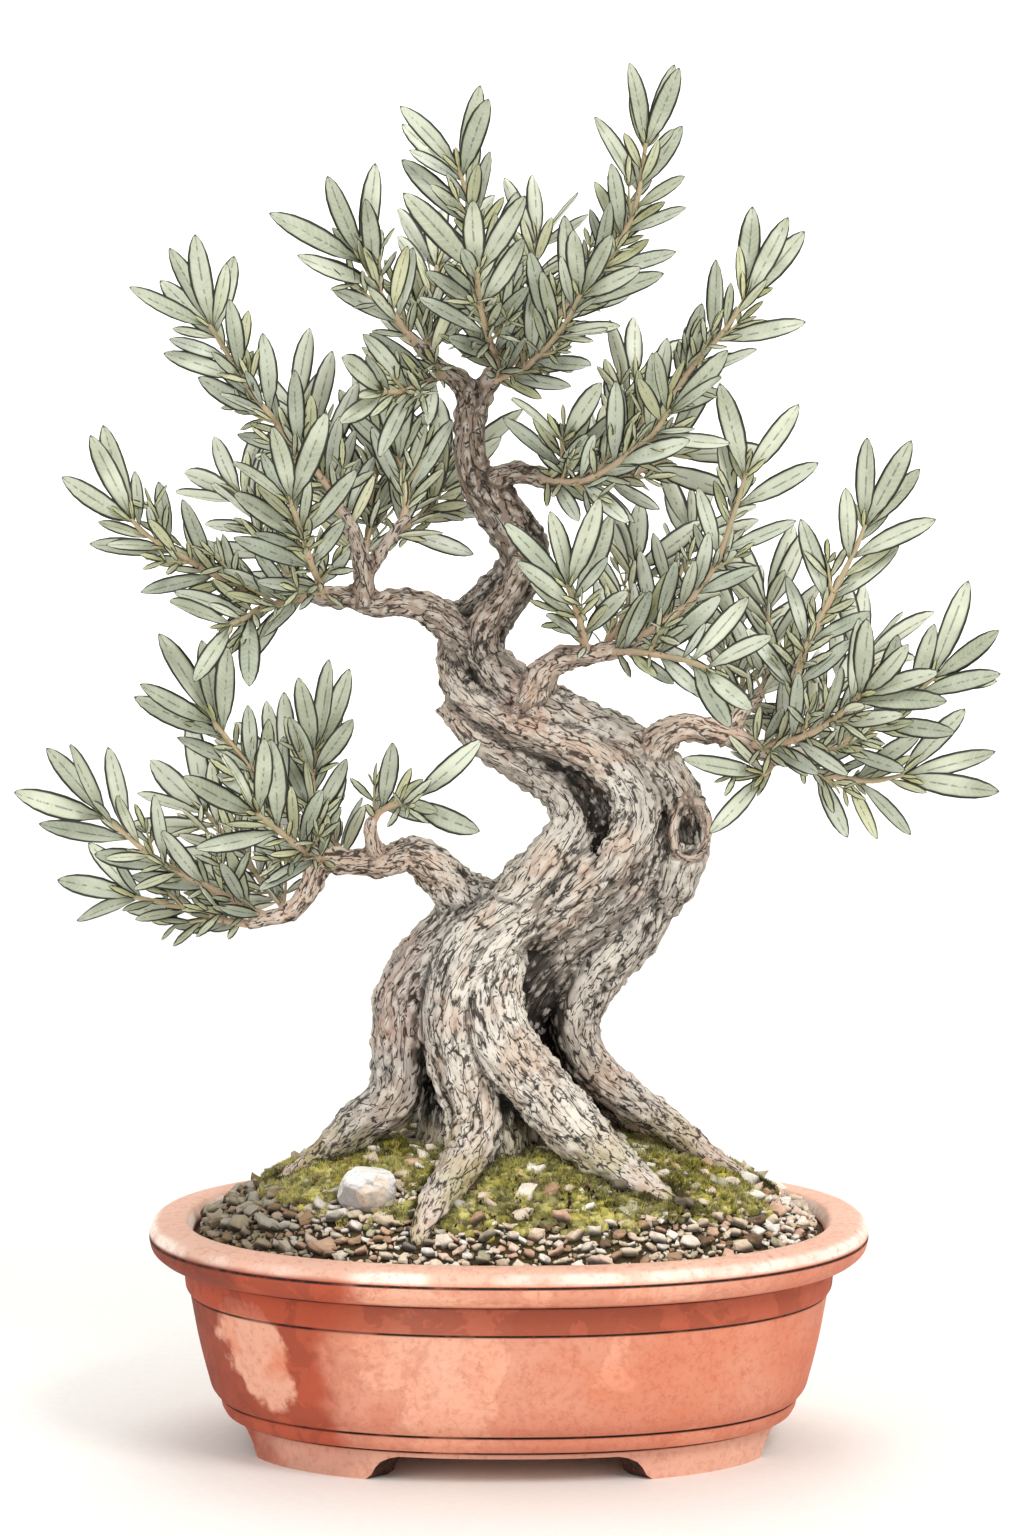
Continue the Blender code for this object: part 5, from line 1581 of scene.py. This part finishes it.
# The blade of the tests: how far along, and its width there as a share of the widest.
LEAF_SECTIONS = [(0.0, 0.22), (0.3, 0.88), (0.64, 0.96)]
LEAF_SLIM = 0.245
LEAF_KEEL = 1.1
LEAF_ARCH = 0.06
WOOD_CLEAR = 1.6
STEM_CLEAR = 1.0
OWN_STEM_CLEAR = 0.3
LEAF_REACH = 48
BOX_LOW = np.array([-186.5, -106.0, 92.0])
BOX_HIGH = np.array([187.0, 106.0, 535.0])


def unit(vector):
    return vector / np.linalg.norm(vector)


def leaf_shape(foot, way, face, length, swell):
    """The stout three-cornered leaf that the tests use."""
    way = unit(way)
    face = unit(face - way * face.dot(way))
    side = np.cross(way, face)
    points = []
    for reach, spread in LEAF_SECTIONS:
        centre = foot + way * (reach * length) - face * (LEAF_ARCH * length * reach ** 2)
        half = 0.5 * length * LEAF_SLIM * spread + swell
        keel = LEAF_KEEL * (0.75 + 0.25 * spread) + swell
        points += [centre - side * half + face * swell, centre + side * half + face * swell]
        points.append(centre - face * keel)
    points.append(foot + way * (length + swell) - face * (LEAF_ARCH * length))
    faces = [(0, 1, 2)]
    for r in range(len(LEAF_SECTIONS) - 1):
        for a, b in ((0, 1), (1, 2), (2, 0)):
            faces.append((3 * r + a, 3 * r + b, 3 * r + 3 + b, 3 * r + 3 + a))
    tip = len(points) - 1
    last = tip - 3
    faces += [(last, last + 1, tip), (last + 1, last + 2, tip), (last + 2, last, tip)]
    return points, faces


def outside_box(points):
    return bool(np.any(points < BOX_LOW) or np.any(points > BOX_HIGH))


def hits_stem(cloud, own):
    """Whether the blade comes near any stem; its foot may lie against its own."""
    for name, stem in stems.items():
        away = outside(cloud, stem)
        if name == own:
            away = away[3:] + STEM_CLEAR - OWN_STEM_CLEAR
        if np.any(away < STEM_CLEAR):
            return True
    return False


def takes_room(points, faces, own):
    """Claim the place of a blade, unless wood, a stem or another blade is there."""
    cloud = np.array(points)
    if np.any(outside(cloud[3:], balls) < WOOD_CLEAR) or hits_stem(cloud, own):
        return False
    blade = BVHTree.FromPolygons([tuple(p) for p in points], faces)
    middle = (points[0] + points[-1]) / 2
    near = [other for place, other in grown if np.linalg.norm(place - middle) < LEAF_REACH]
    if any(blade.overlap(other) for other in near):
        return False
    grown.append((middle, blade))
    return True


def stem_path(route, step):
    path = smooth_path(route, step)
    share = np.linspace(0, 1, len(path))
    return np.column_stack([path, STEM_BASE + (STEM_END - STEM_BASE) * share])


balls = np.vstack([smooth_path(strand, STRAND_STEP) for strand in WOOD.values()])
stems = {name: stem_path(route, STEM_TEST_STEP) for name, route in SHOOTS.items()}
grown = []
print("balls of wood:", len(balls), "stems:", len(stems))

# %% Grow the leaves of the solids again, and leaves of middle size between them
LEAF_LENGTH = 31
FOOT_FREE = 3
FOOT_OUT = 0.5
PAIR_GAP = 18
FIRST_PAIR = 9
PAIR_ANGLE = 40
FAN_ANGLE = 27
# Shoots that end further back than this turn their leaves to the back.
TURNS_BACK = 6
BETWEEN_STEP = 4.4
OPEN_STEP = {"crown": 7.5, "upper_right": 5.8, "middle_right": 9.0, "low_right": 7.6, "low_left": 6.2}
# How far a leaf may turn round its stem, how far its face sways, its lift, and its tries.
PAIR_RULE = {"turn": math.radians(55), "sway": (0.5, 0.3), "lift": 0.12, "tries": 14, "clear": 0.45}
BETWEEN_RULE = {"turn": 1.4, "sway": (0.6, 0.4), "lift": 0.15, "tries": 9, "clear": 0.15, "boxed": True}


class Shoot:
    """One stem: its middle line, the side that its leaves turn to and its own random draws."""

    def __init__(self, name, purpose=""):
        self.name = name
        self.bough = name.rsplit("_", 1)[0]
        self.draw = random.Random(name + purpose)
        self.path = smooth_path(SHOOTS[name], 1.0)
        self.length = len(self.path) - 1
        self.front = np.array([0, -1.0 if self.path[-1][1] < TURNS_BACK else 1.0, 0])

    def way(self, k):
        return unit(self.path[min(k + 2, self.length)] - self.path[max(k - 2, 0)])

    def face(self, across, along, rise):
        """A leaf's face: to the front, but swayed by chance."""
        draw = self.draw
        sway = [draw.uniform(-across, across), draw.uniform(-along, along), draw.uniform(0, rise)]
        return self.front + np.array(sway)

    def leaf(self, k, centre, hand, tilts, sizes, rule):
        """The first of a few random turns of a leaf that touches nothing, or nothing."""
        along = self.way(k)
        side = unit(np.cross(along, self.front)) * hand
        for _ in range(rule["tries"]):
            turn = self.draw.uniform(-rule["turn"], rule["turn"])
            tilt = math.radians(self.draw.uniform(*tilts))
            out = side * math.cos(turn) + self.front * math.sin(turn)
            way = along * math.cos(tilt) + out * math.sin(tilt) + np.array([0, 0, rule["lift"]])
            face = self.face(*rule["sway"], 0.8)
            size = self.draw.uniform(*sizes)
            foot = centre + out * FOOT_OUT
            free_foot = foot + unit(way) * FOOT_FREE
            stout, faces = leaf_shape(free_foot, way, face, size - FOOT_FREE, rule["clear"])
            if "boxed" in rule and outside_box(np.array(stout)):
                continue
            if takes_room(stout, faces, self.name):
                return [(foot, way, face, size)]
        return []


def shoot_leaves(name):
    """Opposite pairs along one stem and a fan at its end, each clear of all the others."""
    shoot = Shoot(name)
    length, path = shoot.length, shoot.path
    places = []
    at = FIRST_PAIR + shoot.draw.uniform(0, 3)
    while at < length - 5:
        places += [(at, -1, PAIR_ANGLE), (at + 1.5, 1, PAIR_ANGLE)]
        at += PAIR_GAP
    places += [(length - 1, -1, FAN_ANGLE), (length - 1.5, 1, FAN_ANGLE), (length - 0.5, 1, 4)]
    leaves = []
    for spot, hand, lean in places:
        k = int(min(spot, length - 1))
        centre = path[k] + (path[k + 1] - path[k]) * (min(spot, length) - k)
        full = LEAF_LENGTH * (0.8 + 0.35 * spot / length)
        for leaf in shoot.leaf(k, centre, hand, (lean - 9, lean + 14), (0.86 * full, 1.16 * full), PAIR_RULE):
            leaves.append((*leaf, spot / length))
    return leaves


def between_leaves(name):
    """Smaller leaves all along a stem, each where it touches nothing that already grows."""
    shoot = Shoot(name, " between")
    leaves = []
    step = OPEN_STEP.get(shoot.bough, BETWEEN_STEP)
    for number, spot in enumerate(np.arange(4, shoot.length, step)):
        k = int(spot)
        hand = 1 if number % 2 else -1
        for leaf in shoot.leaf(k, shoot.path[k], hand, (22, 58), (14, 26), BETWEEN_RULE):
            leaves.append((*leaf, 0.5 * shoot.draw.random()))
    return leaves


main_leaves = {name: shoot_leaves(name) for name in SHOOTS}
print("leaves:", sum(len(leaves) for leaves in main_leaves.values()))
more_leaves = {name: between_leaves(name) for name in SHOOTS}
print("leaves between:", sum(len(leaves) for leaves in more_leaves.values()))

# %% [markdown]
# Between those leaves a real crown is full of smaller ones: short side twigs with their own pairs,
# and two tiny new leaves in each axil. They are too fine and too many for solids. Side twigs leave
# each shoot at regular steps and turn round it by the golden angle, as buds do.

# %% Side twigs and young leaves
TWIG_STEP = 10.5
FILLED_SHARE = 0.78
OPEN_TWIGS = {"middle_right": 1.7, "low_right": 1.5, "low_left": 1.15}
YOUNG_CLEAR = 1.4


def turned(along, around, angle, tilt):
    """A direction at a tilt from the stem's own, at an angle round it."""
    side = unit(np.cross(along, around))
    other = np.cross(along, side)
    out = side * math.cos(angle) + other * math.sin(angle)
    return along * math.cos(tilt) + out * math.sin(tilt)


def blade_clear(foot, way, size):
    """Whether a small leaf stays inside the box and out of the wood."""
    cloud = foot + unit(way) * (size * np.array([0.35, 0.7, 1.0]))[:, None]
    return not outside_box(cloud) and bool(outside(cloud, balls).min() > YOUNG_CLEAR)


def bezier(ends, t):
    """A place on the curve that leaves the first point towards the second and ends at the third."""
    return ends[0] * (1 - t) ** 2 + 2 * ends[1] * t * (1 - t) + ends[2] * t ** 2


def fill_shoot(name):
    """Extra leaves and side twigs of one shoot: leaves as (foot, way, face, size, age)."""
    shoot = Shoot(name, " young")
    path, length, front, draw = shoot.path, shoot.length, shoot.front, shoot.draw
    small, twigs = [], []

    def add_leaf(foot, way, size, age):
        face = shoot.face(0.7, 0.4, 0.9)
        if blade_clear(foot, way, size):
            small.append((foot, way, face, size, age))

    def add_pair(foot, along, turn, tilt, size, age):
        for half_turn in (0, math.pi):
            angle = turn + half_turn + draw.uniform(-0.3, 0.3)
            lean = tilt + draw.uniform(-0.2, 0.2)
            add_leaf(foot, turned(along, front, angle, lean), size * draw.uniform(0.8, 1.15), age)

    turn = draw.uniform(0, math.tau)
    at = 5.0
    while at < length * FILLED_SHARE:
        k = int(at)
        along = shoot.way(k)
        add_pair(path[k], along, turn, 0.8, draw.uniform(9, 15), 0.2 + 0.5 * draw.random())
        reach = draw.uniform(10, 24) * (1 - 0.45 * (at / length))
        way = turned(along, front, turn + math.pi / 2, draw.uniform(0.6, 0.95))
        way = unit(way + np.array([0, 0, 0.15]))
        bend = unit(way + along * 0.5 + np.array([0, 0, 0.2]))
        knee = path[k] + way * reach * 0.5
        ends = np.array([path[k], knee, knee + bend * reach * 0.5])
        if blade_clear(knee, bend, reach * 0.5):
            twigs.append(ends)
            steps = max(2, round(reach / 5.5))
            for step in range(1, steps + 1):
                spot = step / steps
                size = draw.uniform(10, 17) * (1.1 - 0.35 * spot)
                age = 0.3 * draw.random() + 0.35 * spot
                add_pair(bezier(ends, spot), bend, turn + step * math.pi / 2, 0.75, size, age)
            add_leaf(ends[2], bend, draw.uniform(9, 14), 0.7)
        turn += GOLDEN_TURN
        at += TWIG_STEP * OPEN_TWIGS.get(shoot.bough, 1) * draw.uniform(0.8, 1.2)
    for _ in range(2):
        along = unit(path[-1] - path[-4])
        add_pair(path[-1] - along * 2, along, draw.uniform(0, math.tau), 0.5, draw.uniform(8, 13), 0.8)
    return small, twigs


filling = {name: fill_shoot(name) for name in SHOOTS}
print("young leaves:", sum(len(small) for small, _ in filling.values()))

# %% [markdown]
# One leaf is a thin closed blade: lance-shaped, folded a little along its midrib, arched towards
# the tip, its upper and under side meeting in a sharp rim. Each carries how far along and across
# the blade a point lies, so the colour can draw its midrib and its margin. The small ones are
# made of fewer faces. Five kinds differ in twist, bend and wave.

# %% Leaf blades
LEAF_PROFILE = [(0.0, 0.15), (0.06, 0.18), (0.14, 0.44), (0.25, 0.74), (0.38, 0.94), (0.52, 1.0),
                (0.66, 0.97), (0.78, 0.84), (0.88, 0.62), (0.95, 0.37), (0.985, 0.17), (1.0, 0.02)]
LEAF_FOLD = 0.026
BLADE_THICK = 0.013
LEAF_KINDS = 5


def make_leaf(name, steps_along, steps_across, seed):
    draw = random.Random(seed)
    arch = LEAF_ARCH * draw.uniform(0.7, 1.3)
    twist, bend, wave = draw.uniform(-0.35, 0.35), draw.uniform(-0.03, 0.03), draw.uniform(0.0, 0.007)
    reaches = 0.5 - 0.5 * np.cos(np.linspace(0.2, 1, steps_along + 1) * math.pi)
    reaches = (reaches - reaches[0]) / (reaches[-1] - reaches[0])
    points, along, across, index = [], [], [], {}
    for layer in (0, 1):
        for i, reach in enumerate(reaches):
            half = 0.5 * LEAF_SLIM * float(np.interp(reach, *zip(*LEAF_PROFILE)))
            for j, spread in enumerate(np.linspace(-1, 1, steps_across + 1)):
                if layer and (i in (0, steps_along) or j in (0, steps_across)):
                    index[(1, i, j)] = index[(0, i, j)]
                    continue
                height = -LEAF_FOLD * (1 - abs(spread)) * min(1, half / 0.06)
                height -= layer * BLADE_THICK * (1 - 0.6 * abs(spread))
                height += wave * math.sin(reach * 14 + spread * 2) * abs(spread)
                turn = twist * (reach - 0.3)
                y = half * spread * math.cos(turn) - height * math.sin(turn)
                z = half * spread * math.sin(turn) + height * math.cos(turn)
                index[(layer, i, j)] = len(points)
                points.append((float(reach), y + bend * math.sin(reach * math.pi), z - arch * reach ** 2))
                along.append(reach)
                across.append(spread)
    faces, under = [], []
    for layer in (0, 1):
        for i in range(steps_along):
            for j in range(steps_across):
                corners = [(i, j), (i + 1, j), (i + 1, j + 1), (i, j + 1)]
                corners = [index[(layer, *corner)] for corner in corners]
                faces.append(corners[::-1] if layer else corners)
                under.append(layer)
    mesh = bpy.data.meshes.new(name)
    mesh.from_pydata(points, [], faces)
    shade(mesh)
    attribute(mesh, "along", np.array(along, float))
    attribute(mesh, "across", np.array(across, float))
    attribute(mesh, "under", np.array(under, float), domain="FACE")
    return bpy.data.objects.new(name, mesh)


big_blades = [make_leaf("leaf %d" % k, 8, 4, k) for k in range(LEAF_KINDS)]
small_blades = [make_leaf("young leaf %d" % k, 5, 2, 50 + k) for k in range(LEAF_KINDS)]
big_kinds = kinds("leaf kinds", big_blades)
small_kinds = kinds("young leaf kinds", small_blades)
face_counts = [len(blades[0].data.polygons) for blades in (big_blades, small_blades)]
print("faces of a leaf:", face_counts[0], "and of a young one:", face_counts[1])


# %% Trees that hang the leaves and draw out the twigs
def own_way(tree, given, points):
    """Each leaf is turned with X along its way and Z along its face."""
    axes = {"Primary Axis": stored(tree, "way", "FLOAT_VECTOR"),
            "Secondary Axis": stored(tree, "face", "FLOAT_VECTOR")}
    turn = add_node(tree, "FunctionNodeAxesToRotation", axes, primary_axis="X", secondary_axis="Z")
    return points, turn


def make_twig_tree():
    """Draw a round twig out along every line, as thick as its radius says."""
    tree, given = geometry_group("Draw twigs", {"Sides": ("Int", 7), "Material": ("Material", None)})
    lines = add_node(tree, "GeometryNodeMeshToCurve", {"Mesh": given["Geometry"]})
    ring = {"Resolution": given["Sides"], "Radius": 1.0}
    ring = add_node(tree, "GeometryNodeCurvePrimitiveCircle", ring)
    drawn = {"Curve": lines, "Profile Curve": ring, "Scale": stored(tree, "radius"), "Fill Caps": True}
    drawn = add_node(tree, "GeometryNodeCurveToMesh", drawn)
    smooth = add_node(tree, "GeometryNodeSetShadeSmooth", {"Geometry": drawn})
    dressed = {"Geometry": smooth, "Material": given["Material"]}
    return close_group(tree, "Geometry", Geometry=add_node(tree, "GeometryNodeSetMaterial", dressed))


HANG_TREE = planting_tree("Hang leaves", {}, own_way)
TWIG_TREE = make_twig_tree()
print("trees:", HANG_TREE.name, "and", TWIG_TREE.name)

# %% [markdown]
# The upper side of an olive leaf is a dull grey-green, the under side silvery, and the youngest
# leaves are yellow-green. The drawing gives each a dark margin and a broken line along the
# midrib. Twigs are pinkish brown where they are woody and turn green towards the tip.

# %% Leaf and twig finishes
LEAF_DARK = (104, 114, 98)
LEAF_MID = (192, 200, 185)
LEAF_LIGHT = (220, 226, 210)
LEAF_SILVER = (224, 227, 214)
LEAF_YOUNG = (212, 208, 136)
LEAF_INK = (22, 25, 17)
TWIG_WOOD = (208, 178, 154)
TWIG_GREEN = (176, 170, 122)
TWIG_INK = (66, 46, 34)


def make_leaf_finish():
    leaf = Finish("Olive leaf", 0.55, 45.0, 1500.0, 0.8)
    along, spread = leaf.read("along"), leaf.read("across").math("ABSOLUTE")
    veins = (along * 95.0 + spread * -9.0).math("SINE").ramp(0.7, 1.0) * 0.22
    midrib = spread.ramp(0.03, 0.13, 0.8, 0.0) * noise(leaf.place, 420.0, 2.0).ramp(0.4, 0.55)
    slighter = leaf.read("size").ramp(0.012, 0.028, 0.18, 0.0)
    line = most(midrib * 0.75, (spread + slighter).ramp(0.72, 0.84), along.ramp(0.96, 0.99))
    leaf.tone = blend(leaf.read("tone"), LEAF_MID, LEAF_LIGHT)
    leaf.coat((leaf.wide["Tone"] * 0.55, LEAF_DARK),
              # painted shade towards each leaf's foot, deep in the crown
              (along.ramp(0.0, 0.4, 0.62, 0.0), LEAF_DARK),
              (leaf.read("under") * 0.6, LEAF_SILVER),
              (leaf.read("age"), LEAF_YOUNG),
              (veins, LEAF_LIGHT),
              (line * 0.92, LEAF_INK))
    return leaf.done(0.0002, 0.4, leaf.fine["Grain"] - veins)


def make_twig_finish():
    twig = Finish("Young twig", 0.75, 60.0, 1400.0)
    ticks = noise(twig.place.stretched(0.6), 520.0, 2.0).ramp(0.62, 0.68)
    twig.tone = blend(twig.read("age"), TWIG_WOOD, TWIG_GREEN)
    twig.coat((twig.wide["Tone"] * 0.3, LEAF_DARK),
              (ticks * 0.7, TWIG_INK))
    return twig.done(0.0004, 0.6)


leaf_finish = make_leaf_finish()
twig_finish = make_twig_finish()
print("finishes:", leaf_finish.name, "and", twig_finish.name)

# %% Put each bough together
TOP = 536.3
TWIG_RADIUS = 0.75
TWIG_TIP = 0.4
TWIG_POINTS = 6
OLD_SHARE = 0.12
YOUNG_SHARE = 0.75


def kept_below(piece, top):
    """Leaf tips that would stand higher than the solids are bent down to the top."""
    places = point_values(piece.data, "co") / MM
    places[:, 2] = np.minimum(places[:, 2], top)
    piece.data.vertices.foreach_set("co", (places * MM).ravel())
    piece.data.update()
    return piece


def hang(name, leaves, seed, shapes, tree_seed):
    """A leaf for every row of foot, way, face, size and age."""
    draw = np.random.default_rng(seed)
    made = mesh_object(name, [leaf[0] for leaf in leaves], [])
    ways = np.array([unit(leaf[1]) for leaf in leaves])
    faces = np.array([leaf[2] for leaf in leaves])
    faces = faces - ways * (faces * ways).sum(1)[:, None]
    attribute(made.data, "way", ways, "FLOAT_VECTOR")
    attribute(made.data, "face", faces / np.linalg.norm(faces, axis=1)[:, None], "FLOAT_VECTOR")
    attribute(made.data, "size", [leaf[3] * MM for leaf in leaves])
    attribute(made.data, "age", [leaf[4] for leaf in leaves])
    attribute(made.data, "tone", draw.random(len(leaves)))
    return run_tree(made, HANG_TREE, kinds=shapes, kind_count=LEAF_KINDS, seed=tree_seed,
                    material=leaf_finish)


def draw_twigs(shoots):
    """The stems and side twigs of a bough, from lines with a radius and an age at every point."""
    points, edges, radii, ages = [], [], [], []
    for shoot in shoots:
        stem = stem_path(SHOOTS[shoot], 1.6)
        rows = [(stem[:, :3], stem[:, 3] * (1 + 0.1 * np.sin(np.arange(len(stem)) * 0.9)), 0.0, 0.55)]
        for ends in filling[shoot][1]:
            line = bezier(ends, np.linspace(0, 1, TWIG_POINTS)[:, None])
            rows.append((line, np.linspace(TWIG_RADIUS, TWIG_TIP, TWIG_POINTS), 0.4, 0.95))
        for line, radius, first, last in rows:
            start = len(points)
            points += list(line)
            edges += [(start + k, start + k + 1) for k in range(len(line) - 1)]
            radii += list(radius * MM)
            ages += list(np.linspace(first, last, len(line)))
    made = mesh_object("twigs", points, [], edges)
    attribute(made.data, "radius", radii)
    attribute(made.data, "age", ages)
    return run_tree(made, TWIG_TREE, sides=7, material=twig_finish)


def put_together(bough, seed):
    shoots = [name for name in SHOOTS if name.startswith(bough + "_")]
    leaves = [(*leaf[:4], OLD_SHARE * leaf[4]) for name in shoots for leaf in main_leaves[name]]
    leaves += [leaf for name in shoots for leaf in more_leaves[name]]
    young = [(*leaf[:4], YOUNG_SHARE * leaf[4]) for name in shoots for leaf in filling[name][0]]
    foliage = hang(bough + "_foliage", leaves, seed, big_kinds, seed)
    small = hang("young", young, seed + 40, small_kinds, seed)
    foliage = kept_below(joined(foliage, small, draw_twigs(shoots)), TOP)
    hand_in(foliage, "leaf", *["shoot_" + name for name in shoots])


for bough_name, bough_seed in BOUGHS.items():
    put_together(bough_name, bough_seed)
discard(*big_blades, *small_blades)

# %% [markdown]
# Under the soil a square of black net lies over each drain hole and holds the soil back. These
# stay the solids they are, since nothing but their holes shows from below, with a finish of
# their own.

# %% Drain nets
net = Finish("Black drain net", 0.55, fine=1200.0)
net.tone = blend(net.fine["Grain"], (22, 22, 22), (58, 56, 52))
net_finish = net.done(0.0003, 0.5)
for name in ("drain_screen_left", "drain_screen_right"):
    dress(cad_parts[name], net_finish)
print("drain nets dressed")
